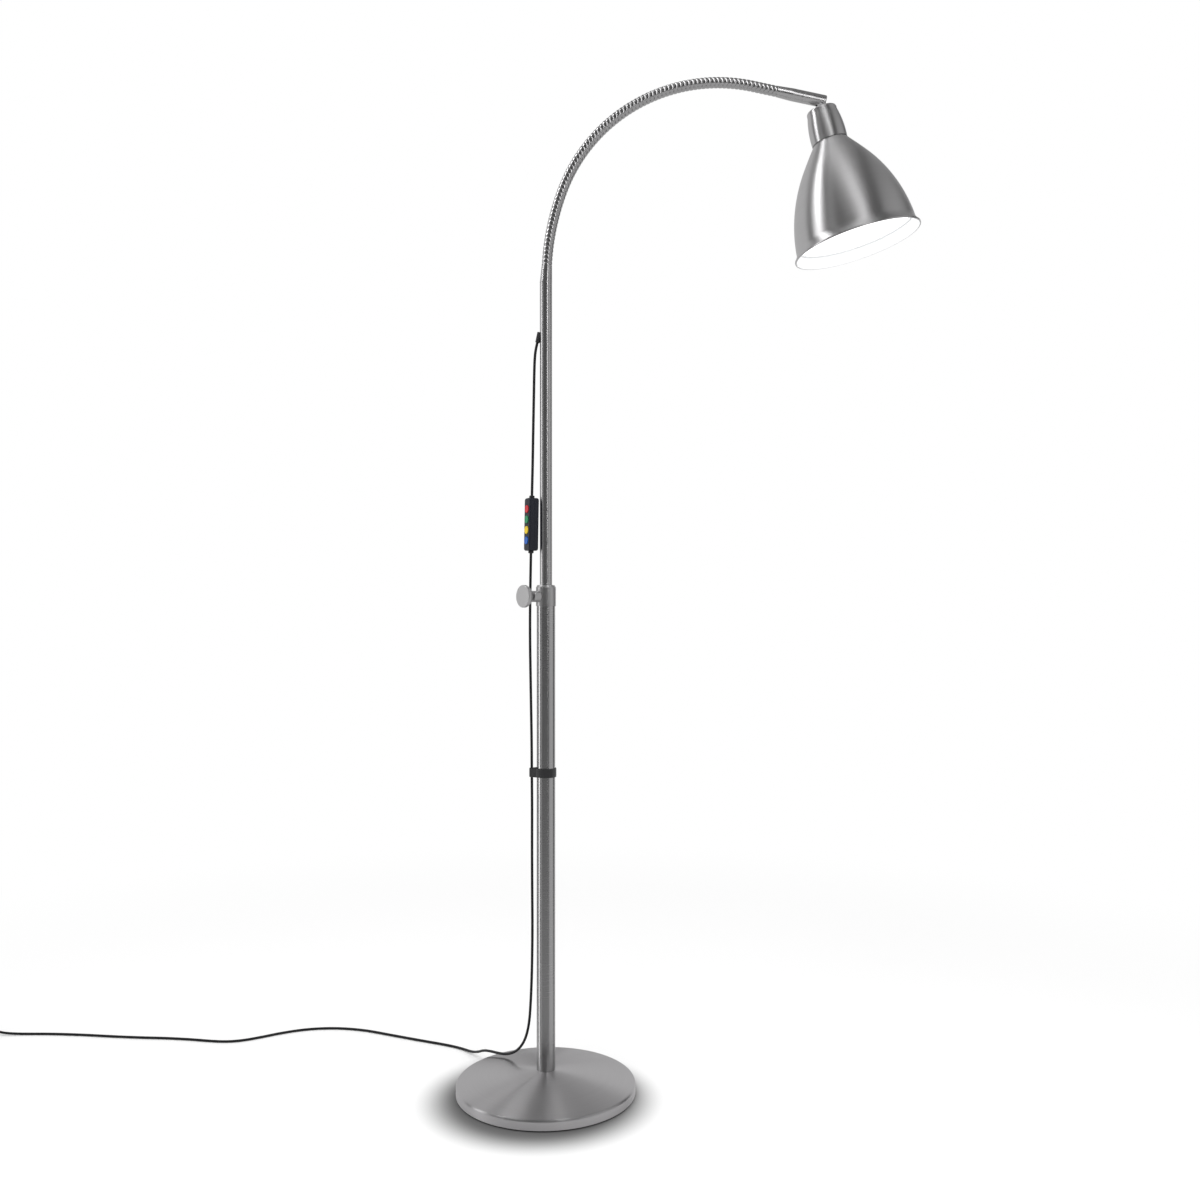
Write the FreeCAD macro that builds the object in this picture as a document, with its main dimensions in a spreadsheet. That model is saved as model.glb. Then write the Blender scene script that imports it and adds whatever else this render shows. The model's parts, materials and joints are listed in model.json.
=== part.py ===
"""Gooseneck reading floor lamp, in millimetres.

Origin: centre of the base on the floor, +Z up. The arm reaches towards +X.
Round, rising pieces are turned about their own Z axis and then placed.
"""
import FreeCAD, Part
import math
import os
import Sketcher
from FreeCAD import Placement, Rotation, Vector

os.makedirs("parts", exist_ok=True)
doc = FreeCAD.newDocument("reading_lamp")

# ---------------------------------------------------------------- driving sizes
SIZES = {
    # base
    "base_radius": 120,
    "pad_thickness": 2,
    "pad_inset": 3,
    "rim_height": 13,
    "dome_rise": 16.5,
    "cover_wall": 1.5,
    "rim_round": 2.5,
    "weight_gap": 0.5,
    "weight_headroom": 2,
    "foot_bolt_radius": 4,
    "foot_bolt_head": 7,
    "foot_bolt_head_height": 6,
    "washer_radius": 12,
    "washer_thickness": 2,
    "foot_plug_height": 30,
    "foot_bolt_grip": 24,
    # lower tube and clamp
    "lower_tube_radius": 12.5,
    "lower_tube_wall": 1.2,
    "lower_tube_top": 672,
    "collar_wall": 0.8,
    "collar_length": 28,
    "collar_lip": 6,
    "collar_chamfer": 1.6,
    "collar_fit": 0.05,
    "bush_sleeve": 32,
    "bush_flange": 2,
    "knob_angle": 219,
    "knob_drop": 7.3,
    "boss_radius": 7.5,
    "boss_reach": 23,
    "screw_radius": 3,
    "screw_chamfer": 1,
    "screw_fit": 0.1,
    "shoe_radius": 3.4,
    "shoe_thickness": 1.8,
    "shoe_hollow": 0.3,
    "knob_gap": 0.6,
    "knob_radius": 15,
    "knob_face": 38.6,
    "knob_rim": 5,
    "knob_edge": 4,
    "knob_round": 1.2,
    "knob_back_bend": 16.6,
    "knob_neck_radius": 4.6,
    "knob_neck_length": 2,
    # upper mast
    "upper_tube_radius": 8.25,
    "upper_tube_wall": 1,
    "upper_tube_foot": 520,
    "upper_tube_top": 1085,
    "sliding_fit": 0.08,
    "guide_length": 24,
    "stop_ring_height": 4,
    "stop_ring_inset": 0.8,
    "plug_flange": 3,
    "plug_spigot": 12,
    "grommet_height": 1018.5,
    "grommet_angle": 15,
    "grommet_depth": 8,
    "grommet_length": 13.5,
    "grommet_radius": 3.7,
    "grommet_tip_radius": 2.9,
    "grommet_plug_drop": 5,
    "grommet_plug_inset": 2.5,
    "grommet_plug_length": 4.1,
    # gooseneck
    "ferrule_lean": 3,
    "ferrule_length": 24,
    "rib_radius": 7,
    "rib_groove": 0.9,
    "neck_bore": 4,
    "neck_root_bend": 336,
    "neck_root_length": 103,
    "neck_crown_bend": 223,
    "neck_crown_length": 317,
    "neck_tip_length": 33,
    "neck_links": 10,
    "ribs_per_link": 8,
    "ball_radius": 9,
    "ball_gap": 0.3,
    "spigot_length": 9,
    "spigot_fit": 0.1,
    "link_margin": 1,
    "lead_radius": 1.5,
    "lead_overrun": 6,
    "lead_tail": 20,
    # head arm
    "arm_ferrule_length": 35,
    "arm_ferrule_taper": 21,
    "arm_tube_radius": 8,
    "arm_tube_wall": 1,
    "arm_tube_length": 30.5,
    "arm_cap_length": 3,
    "arm_cap_dome": 1.5,
    "arm_cap_edge": 1,
    "pivot_back": 4.6,
    "pivot_drop": 7,
    "ear_radius": 4.4,
    "ear_thickness": 2.4,
    "tongue_thickness": 4,
    "tongue_width": 6.4,
    "tongue_gap": 0.3,
    "tongue_sweep": 1.8,
    "pivot_radius": 1.5,
    "pivot_head_radius": 2.7,
    "pivot_head_height": 1.4,
    "pivot_fit": 0.05,
    # head
    "head_lean": 15.1,
    "pivot_to_cap": 5.2,
    "head_depth": 187.4,
    "cap_length": 45,
    "cap_top_radius": 20.2,
    "cap_foot_radius": 23.8,
    "cap_side_bend": 130,
    "cap_top_round": 3,
    "sheet": 1,
    "neck_collar": 3,
    "shade_neck_radius": 22.3,
    "shade_shoulder_radius": 42.9,
    "shade_shoulder_depth": 72.8,
    "shade_skirt_radius": 80.5,
    "shade_skirt_depth": 178.5,
    "shade_shoulder_bend": 850,
    "shade_skirt_bend": 206.6,
    "shade_lip_radius": 83.8,
    "bead_radius": 1.2,
    "stem_radius": 5,
    "stem_foot_rim": 1.5,
    "stem_foot_height": 0.5,
    "stem_nut_radius": 8,
    "stem_nut_height": 5,
    "sink_radius": 21,
    "sink_height": 20,
    "sink_fins": 12,
    "sink_fin_thickness": 1.6,
    "sink_fin_inset": 2,
    "sink_core_radius": 9,
    "sink_plate": 4,
    "board_radius": 20,
    "board_thickness": 1.6,
    "chip_size": 5,
    "chip_height": 0.9,
    "chip_circle": 11,
    "chip_count": 6,
    "screw_head_radius": 2.4,
    "screw_head_height": 1.5,
    "board_screw_circle": 16.5,
    "board_screw_count": 3,
    "diffuser_depth": 169,
    "diffuser_thickness": 2.5,
    "diffuser_gap": 0.4,
    "ring_height": 3,
    "ring_width": 2.6,
    # inline switch
    "switch_floor": 726.2,
    "switch_offset": -20.1,
    "switch_turn": -62,
    "switch_lean": 1,
    "switch_width": 18,
    "switch_half": 7,
    "switch_length": 70.5,
    "switch_corner": 3.5,
    "switch_edge": 2,
    "switch_wall": 1.6,
    "switch_end_wall": 2.4,
    "switch_board_gap": 0.5,
    "case_screw_inset": 9,
    "case_screw_radius": 1.6,
    "case_screw_height": 0.4,
    "button_row_drop": 0.7,
    "button_radius": 5.1,
    "button_gap": 0.3,
    "button_proud": 1.1,
    "button_flange": 1.1,
    "button_flange_thickness": 0.9,
    "button_dish": 0.45,
    "button_edge": 0.4,
    "button_pitch": 14.05,
    "button_count": 4,
    "button_travel": 0.8,
    "board_slab": 1.2,
    "dome_radius": 2.4,
    "cuff_radius": 3.6,
    "cuff_length": 3.4,
    # cords, strap and adapter
    "cord_radius": 1.8,
    "strap_floor": 423,
    "strap_width": 12,
    "strap_thickness": 1.4,
    "strap_tube_room": 0.1,
    "strap_cord_room": 0.2,
    "strap_cord_reach": 19,
    "adapter_length": 58,
    "adapter_width": 34,
    "adapter_height": 30,
    "adapter_round": 4,
    "pin_radius": 2,
    "pin_length": 19,
    "pin_spacing": 18.6,
    "relief_length": 12,
    "relief_radius": 3.6,
    "relief_wall": 0.6,
}

sheet = doc.addObject("Spreadsheet::Sheet", "Sizes")
for row, (alias, number) in enumerate(SIZES.items(), start=1):
    sheet.set(f"A{row}", alias)
    sheet.set(f"B{row}", str(number))
    sheet.setAlias(f"B{row}", alias)
doc.recompute()


class Size:
    """A number together with the sheet expression that it is worked out from."""

    def __init__(self, value, text):
        self.value = float(value)
        self.text = text

    def __add__(self, other):
        other = as_size(other)
        return Size(self.value + other.value, f"({self.text} + {other.text})")

    def __sub__(self, other):
        other = as_size(other)
        return Size(self.value - other.value, f"({self.text} - {other.text})")

    def __mul__(self, other):
        other = as_size(other)
        return Size(self.value * other.value, f"({self.text} * {other.text})")

    def __truediv__(self, other):
        other = as_size(other)
        return Size(self.value / other.value, f"({self.text} / {other.text})")

    def __neg__(self):
        return Size(-self.value, f"(0 - {self.text})")

    def __float__(self):
        return self.value


def as_size(number):
    """A Size as it is, or a plain number as a Size."""
    return number if isinstance(number, Size) else Size(number, repr(float(number)))


class Sheet:
    """The driving sizes by name."""

    def __getattr__(self, alias):
        return Size(getattr(sheet, alias), f"Sizes.{alias}")


dim = Sheet()
labels = {}


def keep(thing, label, placement=None):
    """Names a finished piece and puts it in its place."""
    thing.Label = label
    if placement is not None:
        thing.Placement = placement
    labels[label] = thing
    return thing


def bind(thing, **sizes):
    """Ties properties of an object to the sheet."""
    for name, size in sizes.items():
        thing.setExpression(name, as_size(size).text)


# ---------------------------------------------------------------- sketches and solids
def attach(sketch, body, plane):
    """Lays a sketch on one of its own body's origin planes."""
    for feature in body.Origin.OriginFeatures:
        if feature.Role == plane:
            sketch.AttachmentSupport = (feature, "")
    sketch.MapMode = "FlatFace"


def pin_point(sketch, geometry, end, across, up):
    """Holds one end of a line or arc at (across, up) of the sketch."""
    for kind, axis, size in (("DistanceX", -2, across), ("DistanceY", -1, up)):
        if abs(size.value) < 1e-9:
            sketch.addConstraint(Sketcher.Constraint("PointOnObject", geometry, end, axis))
        else:
            held = Sketcher.Constraint(kind, -1, 1, geometry, end, size.value)
            sketch.setExpression(f"Constraints[{sketch.addConstraint(held)}]", size.text)


def arc_between(start, finish, radius, side):
    """Arc of the given radius from start to finish, its centre on the left (1) or right (-1)."""
    chord = finish - start
    reach = math.sqrt(max(radius * radius - chord.Length ** 2 / 4, 0))
    normal = Vector(-chord.y, chord.x, 0).normalize() * side
    centre = (start + finish) / 2 + normal * reach
    first = math.atan2(start.y - centre.y, start.x - centre.x)
    last = math.atan2(finish.y - centre.y, finish.x - centre.x)
    circle = Part.Circle(centre, Vector(0, 0, 1), radius)
    if side > 0:
        return Part.ArcOfCircle(circle, first, last), 1, 2
    return Part.ArcOfCircle(circle, last, first), 2, 1


def draw_outline(sketch, outline):
    """Closed outline of (across, up) corners; (across, up, radius, side) arrives by an arc."""
    corners = [[as_size(x) for x in corner[:3]] + list(corner[3:]) for corner in outline]
    ends = []
    for number, corner in enumerate(corners):
        before = corners[number - 1]
        start = Vector(before[0].value, before[1].value, 0)
        finish = Vector(corner[0].value, corner[1].value, 0)
        if len(corner) == 4:
            curve, first, last = arc_between(start, finish, corner[2].value, corner[3])
        else:
            curve, first, last = Part.LineSegment(start, finish), 1, 2
        edge = sketch.addGeometry(curve, False)
        pin_point(sketch, edge, last, corner[0], corner[1])
        if len(corner) == 4:
            held = Sketcher.Constraint("Radius", edge, corner[2].value)
            sketch.setExpression(f"Constraints[{sketch.addConstraint(held)}]", corner[2].text)
        ends.append((edge, first, last))
    for number, (edge, first, last) in enumerate(ends):
        before = ends[number - 1]
        joined = Sketcher.Constraint("Coincident", before[0], before[2], edge, first)
        sketch.addConstraint(joined)


def turned(name, outline):
    """Body turned about its own Z axis from a closed (radius, height) outline."""
    body = doc.addObject("PartDesign::Body", name)
    sketch = body.newObject("Sketcher::SketchObject", name + "_outline")
    attach(sketch, body, "XZ_Plane")
    draw_outline(sketch, outline)
    solid = body.newObject("PartDesign::Revolution", name + "_turned")
    solid.Profile = sketch
    solid.ReferenceAxis = (sketch, ["V_Axis"])
    solid.Angle = 360
    sketch.Visibility = False
    doc.recompute()
    return body


def round_edges(body, radius, places):
    """Rounds the circular edges of a turned body that lie at the given (radius, height)."""
    base = body.Tip
    wanted = []
    for number, edge in enumerate(base.Shape.Edges, start=1):
        if not isinstance(edge.Curve, Part.Circle):
            continue
        for ring, height in places:
            same_ring = abs(edge.Curve.Radius - float(ring)) < 1e-4
            if same_ring and abs(edge.Curve.Center.z - float(height)) < 1e-4:
                wanted.append(f"Edge{number}")
    fillet = body.newObject("PartDesign::Fillet", body.Name + "_round")
    fillet.Base = (base, wanted)
    bind(fillet, Radius=radius)
    doc.recompute()
    return body


def padded(name, plane, outline, length, reverse=False):
    """Body padded from a closed outline on one of its origin planes."""
    body = doc.addObject("PartDesign::Body", name)
    sketch = body.newObject("Sketcher::SketchObject", name + "_outline")
    attach(sketch, body, plane)
    draw_outline(sketch, outline)
    pad = body.newObject("PartDesign::Pad", name + "_pad")
    pad.Profile = sketch
    pad.Reversed = reverse
    bind(pad, Length=length)
    sketch.Visibility = False
    doc.recompute()
    return body


def cylinder(name, radius, height, placement=None):
    """Plain cylinder bound to the sheet."""
    solid = doc.addObject("Part::Cylinder", name)
    bind(solid, Radius=radius, Height=height)
    if placement is not None:
        solid.Placement = placement
    return solid


def block(name, length, width, height, placement=None):
    """Plain block bound to the sheet."""
    solid = doc.addObject("Part::Box", name)
    bind(solid, Length=length, Width=width, Height=height)
    if placement is not None:
        solid.Placement = placement
    return solid


def joined(name, pieces):
    """Union of solids."""
    solid = doc.addObject("Part::MultiFuse", name)
    solid.Shapes = pieces
    return solid


def without(name, base, tool):
    """A solid with a tool cut out of it."""
    solid = doc.addObject("Part::Cut", name)
    solid.Base = base
    solid.Tool = tool
    return solid


def at(x=0, y=0, z=0):
    """Place without a turn."""
    return Placement(Vector(float(x), float(y), float(z)), Rotation())


def pointing(direction, point):
    """Place whose own Z axis points along a direction."""
    return Placement(point, Rotation(Vector(0, 0, 1), direction))


# ---------------------------------------------------------------- base
def dome_height(radius):
    """Height of the cover's domed top at a radius, from the floor."""
    edge = dim.base_radius.value
    curve = (edge ** 2 + dim.dome_rise.value ** 2) / (2 * dim.dome_rise.value)
    top = dim.pad_thickness.value + dim.rim_height.value + dim.dome_rise.value
    return top - curve + math.sqrt(curve ** 2 - radius ** 2)


def make_base():
    """Floor pad, iron weight, spun cover, and the bolt that holds the mast."""
    pad = dim.pad_thickness
    rim_top = pad + dim.rim_height
    dome_top = rim_top + dim.dome_rise
    edge = dim.base_radius
    dome_bend = (edge * edge + dim.dome_rise * dim.dome_rise) / (dim.dome_rise * 2)
    keep(cylinder("pad", edge - dim.pad_inset, pad), "base_pad")

    hole = dim.lower_tube_radius + dim.collar_fit
    skin = dim.cover_wall
    inner = edge - skin
    hole_drop = as_size(dome_top.value - dome_height(hole.value))
    inner_bend = dome_bend - skin
    cover = turned("cover", [
        (edge, pad),
        (edge, rim_top),
        (hole, dome_top - hole_drop, dome_bend, 1),
        (hole, dome_top - hole_drop - skin),
        (inner, rim_top - skin, inner_bend, -1),
        (inner, pad),
    ])
    round_edges(cover, dim.rim_round, [(edge, rim_top)])
    keep(cover, "base_cover")

    seat = dim.pad_thickness + dim.rim_height
    weight_edge = inner - dim.weight_gap
    bolt_hole = dim.foot_bolt_radius + dim.screw_fit
    well = dim.washer_radius + dim.weight_gap
    well_top = pad + dim.foot_bolt_head_height + dim.washer_thickness
    crown = as_size(dome_height(weight_edge.value / 2))
    weight = turned("weight", [
        (weight_edge, pad),
        (weight_edge, rim_top - skin - dim.weight_headroom),
        (weight_edge / 2, crown - skin - dim.weight_headroom),
        (dim.lower_tube_radius + dim.weight_gap, crown - skin - dim.weight_headroom),
        (dim.lower_tube_radius + dim.weight_gap, seat),
        (bolt_hole, seat),
        (bolt_hole, well_top),
        (well, well_top),
        (well, pad),
    ])
    keep(weight, "base_weight")

    washer = turned("washer", [
        (dim.washer_radius, 0),
        (dim.washer_radius, dim.washer_thickness),
        (bolt_hole, dim.washer_thickness),
        (bolt_hole, 0),
    ])
    keep(washer, "base_washer", at(z=well_top - dim.washer_thickness))

    head_top = dim.foot_bolt_head_height
    bolt_top = seat - pad + dim.foot_bolt_grip
    bolt = turned("bolt", [
        (0, 0),
        (dim.foot_bolt_head, 0),
        (dim.foot_bolt_head, head_top),
        (dim.foot_bolt_radius, head_top),
        (dim.foot_bolt_radius, bolt_top),
        (0, bolt_top),
    ])
    keep(bolt, "base_bolt", at(z=pad))

    tube_bore = dim.lower_tube_radius - dim.lower_tube_wall
    plug = turned("foot_insert", [
        (bolt_hole, 0),
        (tube_bore - dim.screw_fit, 0),
        (tube_bore - dim.screw_fit, dim.foot_plug_height),
        (bolt_hole, dim.foot_plug_height),
    ])
    keep(plug, "foot_plug", at(z=seat))


# ---------------------------------------------------------------- lower tube and clamp
def knob_frame(distance=0.0):
    """Place on the clamp screw's axis, own Z outwards, at a distance from the mast's axis."""
    angle = math.radians(dim.knob_angle.value)
    outwards = Vector(math.cos(angle), math.sin(angle), 0)
    height = dim.lower_tube_top.value - dim.knob_drop.value
    return pointing(outwards, Vector(0, 0, height) + outwards * float(distance))


def make_clamp():
    """Lower tube, collar, bush, brake shoe, and the knob with its screw."""
    seat = dim.pad_thickness + dim.rim_height
    outer = dim.lower_tube_radius
    bore = outer - dim.lower_tube_wall
    screw_hole = dim.screw_radius + dim.screw_fit
    shoe_hole = dim.shoe_radius + dim.screw_fit
    tube = turned("mast_tube", [
        (bore, 0),
        (outer, 0),
        (outer, dim.lower_tube_top - seat),
        (bore, dim.lower_tube_top - seat),
    ])
    tube.Placement = at(z=seat)
    drill = cylinder("mast_tube_drill", shoe_hole, outer * 2, knob_frame())
    keep(without("mast_tube_drilled", tube, drill), "lower_tube")

    reach = outer + dim.collar_fit
    skin = reach + dim.collar_wall
    slider = dim.upper_tube_radius + dim.sliding_fit
    lip = dim.collar_lip
    body = dim.collar_length - lip
    flange = dim.bush_flange
    ring = turned("collar_ring", [
        (reach, 0),
        (skin, 0),
        (skin, dim.collar_length - dim.collar_chamfer * 2),
        (skin - dim.collar_chamfer, dim.collar_length),
        (slider + dim.collar_fit, dim.collar_length),
        (slider + dim.collar_fit, body),
        (reach, body),
    ])
    ring.Placement = at(z=dim.lower_tube_top + flange - body)
    boss = cylinder("collar_boss", dim.boss_radius, dim.boss_reach - outer, knob_frame(outer))
    hollow = cylinder("collar_hollow", reach, body,
                      at(z=dim.lower_tube_top + flange - body))
    screw_way = cylinder("collar_screw_way", screw_hole, dim.boss_reach * 2, knob_frame())
    collar = joined("collar_blank", [ring, boss])
    collar = without("collar_bored", collar, joined("collar_bores", [hollow, screw_way]))
    keep(collar, "clamp_collar")

    sleeve = dim.bush_sleeve
    bush = turned("bush_sleeve_turned", [
        (slider, 0),
        (bore - dim.collar_fit, 0),
        (bore - dim.collar_fit, sleeve),
        (reach - dim.collar_fit, sleeve),
        (reach - dim.collar_fit, sleeve + flange),
        (slider, sleeve + flange),
    ])
    bush.Placement = at(z=dim.lower_tube_top - sleeve)
    window = cylinder("bush_window", shoe_hole, outer * 2, knob_frame())
    keep(without("bush_windowed", bush, window), "collar_bush")

    shoe_length = dim.shoe_thickness + dim.shoe_hollow
    shoe = cylinder("shoe", dim.shoe_radius, shoe_length, knob_frame(dim.upper_tube_radius))
    seat_cut = cylinder("shoe_seat", dim.upper_tube_radius + dim.collar_fit,
                        dim.lower_tube_top * 2)
    keep(without("shoe_hollowed", shoe, seat_cut), "brake_shoe")

    tip = dim.upper_tube_radius + shoe_length
    rod_end = dim.knob_face - dim.knob_rim
    rod = turned("screw_rod", [
        (0, 0),
        (dim.screw_radius - dim.screw_chamfer, 0),
        (dim.screw_radius, dim.screw_chamfer),
        (dim.screw_radius, rod_end - tip),
        (0, rod_end - tip),
    ])
    keep(rod, "clamp_screw", knob_frame(tip))

    back = dim.boss_reach + dim.knob_gap
    length = dim.knob_face - back
    neck = dim.knob_neck_radius
    edge = dim.knob_radius
    rim = length - dim.knob_rim
    knob = turned("knob_turned", [
        (screw_hole, 0),
        (neck, 0),
        (neck, dim.knob_neck_length),
        (edge, length - dim.knob_edge, dim.knob_back_bend, 1),
        (edge, length),
        (0, length),
        (0, rim + dim.screw_fit),
        (screw_hole, rim + dim.screw_fit),
    ])
    round_edges(knob, dim.knob_round, [(edge, length)])
    keep(knob, "clamp_knob", knob_frame(back))


# ---------------------------------------------------------------- upper mast
def grommet_axis():
    """Root of the grommet inside the tube, and the way the cord leaves it."""
    lean = math.radians(dim.grommet_angle.value)
    root = Vector(-dim.grommet_depth.value, 0, dim.grommet_height.value)
    return root, Vector(-math.sin(lean), 0, -math.cos(lean))


def make_upper_mast():
    """Sliding guide, upper tube with its stops, grommet and lower ferrule."""
    outer = dim.upper_tube_radius
    wall = dim.upper_tube_wall
    foot = dim.upper_tube_foot
    mast_bore = dim.lower_tube_radius - dim.lower_tube_wall
    tube = turned("sliding_tube", [
        (outer - wall, 0),
        (outer, 0),
        (outer, dim.upper_tube_top - foot),
        (outer - wall, dim.upper_tube_top - foot),
    ])
    tube.Placement = at(z=foot)
    root, out = grommet_axis()
    plug_height = (dim.grommet_height - dim.grommet_plug_drop).value
    hole = cylinder("cord_hole", dim.grommet_radius + dim.screw_fit, outer * 2,
                    pointing(Vector(-1, 0, 0), Vector(0, 0, plug_height)))
    keep(without("sliding_tube_drilled", tube, hole), "upper_tube")

    guide = turned("guide", [
        (outer + dim.sliding_fit, 0),
        (mast_bore - dim.sliding_fit, 0),
        (mast_bore - dim.sliding_fit, dim.guide_length),
        (outer + dim.sliding_fit, dim.guide_length),
    ])
    keep(guide, "guide_bush", at(z=foot + dim.ball_gap))
    ring = turned("stop", [
        (outer, 0),
        (mast_bore - dim.stop_ring_inset, 0),
        (mast_bore - dim.stop_ring_inset, dim.stop_ring_height),
        (outer, dim.stop_ring_height),
    ])
    keep(ring, "stop_ring", at(z=foot + dim.guide_length + dim.ball_gap * 2))
    plug = turned("foot_stopper", [
        (0, 0),
        (mast_bore - dim.stop_ring_inset, 0),
        (mast_bore - dim.stop_ring_inset, dim.plug_flange),
        (outer - wall - dim.screw_fit, dim.plug_flange),
        (outer - wall - dim.screw_fit, dim.plug_flange + dim.plug_spigot),
        (0, dim.plug_flange + dim.plug_spigot),
    ])
    keep(plug, "tube_plug", at(z=foot - dim.plug_flange))

    snout = doc.addObject("Part::Cone", "grommet_snout")
    bind(snout, Radius1=dim.grommet_radius, Radius2=dim.grommet_tip_radius,
         Height=dim.grommet_length)
    snout.Placement = pointing(out, root)
    inset = (outer - dim.grommet_plug_inset).value
    collar = cylinder("grommet_collar", dim.grommet_radius, dim.grommet_plug_length,
                      pointing(Vector(-1, 0, 0), Vector(-inset, 0, plug_height)))
    room = cylinder("grommet_room", outer + dim.collar_fit, dim.upper_tube_top)
    keep(joined("grommet_blank", [without("grommet_trimmed", snout, room), collar]),
         "cable_grommet")


# ---------------------------------------------------------------- the arm's centre line
def neck_spans():
    """(length, bend radius or None) of each stretch of the arm, from the ferrule's seat."""
    return [
        (dim.ferrule_length.value, None),
        (dim.neck_root_length.value, dim.neck_root_bend.value),
        (dim.neck_crown_length.value, dim.neck_crown_bend.value),
        (dim.neck_tip_length.value, None),
        ((dim.arm_ferrule_length + dim.arm_tube_length).value, None),
    ]


def arm_frame(distance):
    """Place on the arm at a distance along it from the top of the upper tube, own Z forward.

    The heading is the angle from vertical. An arc of radius R that turns it from a to b
    moves by R (cos a - cos b) along X and R (sin b - sin a) along Z.
    """
    x = 0.0
    z = dim.upper_tube_top.value
    heading = math.radians(dim.ferrule_lean.value)
    left = distance
    for length, bend in neck_spans():
        step = min(left, length)
        if bend is None:
            x += step * math.sin(heading)
            z += step * math.cos(heading)
        else:
            turn = heading + step / bend
            x += bend * (math.cos(heading) - math.cos(turn))
            z += bend * (math.sin(turn) - math.sin(heading))
            heading = turn
        left -= step
        if left <= 0:
            break
    return Placement(Vector(x, 0, z), Rotation(Vector(0, 1, 0), math.degrees(heading)))


def neck_length():
    """Length of the ribbed gooseneck."""
    return (dim.neck_root_length + dim.neck_crown_length + dim.neck_tip_length).value


def tube_along(stations):
    """Ruled loft through circles of (distance along the arm, radius)."""
    rings = []
    for distance, radius in stations:
        ring = Part.Wire([Part.makeCircle(radius)])
        ring.Placement = arm_frame(distance)
        rings.append(ring)
    return Part.makeLoft(rings, True, True)


def feature(label, shape):
    """Piece whose shape follows the arm or a cord's route."""
    solid = doc.addObject("Part::Feature", label)
    solid.Shape = shape
    labels[label] = solid
    return solid


def ferrule(name, outline, distance):
    """Turned sleeve on the arm."""
    return keep(turned(name + "_turned", outline), name, arm_frame(distance))


def make_gooseneck():
    """Lower ferrule, ribbed links with ball ends, and the lamp lead inside them."""
    start = dim.ferrule_length.value
    spigot = dim.neck_bore - dim.spigot_fit
    way = dim.lead_radius + dim.ball_gap * 2
    grip = dim.upper_tube_radius - dim.upper_tube_wall - dim.spigot_fit
    cone = turned("ferrule_cone", [
        (way, 0),
        (dim.upper_tube_radius + dim.spigot_fit, 0),
        (dim.rib_radius, dim.ferrule_length),
        (spigot, dim.ferrule_length),
        (spigot, dim.ferrule_length + dim.spigot_length),
        (way, dim.ferrule_length + dim.spigot_length),
    ])
    cone.Placement = arm_frame(0)
    below = cylinder("ferrule_underside", dim.upper_tube_radius * 2, dim.upper_tube_top)
    root_way = way + dim.ball_gap * 2
    root = turned("ferrule_root", [
        (root_way, 0),
        (grip, 0),
        (grip, dim.spigot_length + dim.sheet),
        (root_way, dim.spigot_length + dim.sheet),
    ])
    root.Placement = at(z=dim.upper_tube_top - dim.spigot_length)
    keep(joined("ferrule_joined", [without("ferrule_levelled", cone, below), root]),
         "lower_ferrule")

    peak = dim.rib_radius.value
    valley = peak - dim.rib_groove.value
    links = int(dim.neck_links.value)
    ribs = int(dim.ribs_per_link.value)
    pitch = neck_length() / (links * ribs)
    ball = dim.ball_radius.value
    rise = math.sqrt(ball ** 2 - valley ** 2)
    margin = dim.link_margin.value
    shape_of_rib = ((0.0, valley), (0.2, peak), (0.75, peak), (0.95, valley))
    for link in range(links):
        first = start + link * ribs * pitch
        last = first + ribs * pitch
        stations = []
        for rib in range(ribs):
            stations += [(first + (rib + part) * pitch, r) for part, r in shape_of_rib]
        if link == links - 1:
            stations.append((last, valley))
        else:
            stations.append((last - rise + ball + margin, valley))
        if link > 0:
            stations.insert(0, (first - margin, valley))
        body = tube_along(stations)
        bore = [(s, dim.neck_bore.value) for s in (
            first - ball, *(first + rib * pitch for rib in range(ribs + 1)), last + ball)]
        body = body.cut(tube_along(bore))
        if link > 0:
            cup = Part.makeSphere(ball + dim.ball_gap.value)
            cup.Placement = arm_frame(first - rise)
            body = body.cut(cup)
        if link < links - 1:
            hinge = arm_frame(last - rise)
            trim = Part.makeCylinder(ball * 2, ball * 2).cut(Part.makeSphere(ball))
            trim.Placement = hinge
            body = body.cut(trim)
        feature(f"gooseneck_{link + 1:02d}", body)

    lead_end = start + neck_length() + (dim.arm_ferrule_length + dim.lead_overrun).value
    climb = (dim.upper_tube_top - dim.grommet_height + dim.lead_tail).value
    lead = [(s, dim.lead_radius.value) for s in (
        0.0, start, *(start + n * ribs * pitch for n in range(1, links + 1)), lead_end)]
    rising = Part.makeCylinder(dim.lead_radius.value, climb)
    rising.Placement = at(z=dim.upper_tube_top.value - climb)
    feature("lamp_lead", tube_along(lead).fuse(rising).removeSplitter())


# ---------------------------------------------------------------- head arm
def tube_end():
    """Distance along the arm to the head tube's end."""
    return (dim.ferrule_length + dim.arm_ferrule_length + dim.arm_tube_length).value \
        + neck_length()


def pivot_point():
    """Centre of the head's tilting screw, below the head tube's axis."""
    frame = arm_frame(tube_end() - dim.pivot_back.value)
    return frame.multVec(Vector(dim.pivot_drop.value, 0, 0))


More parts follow.
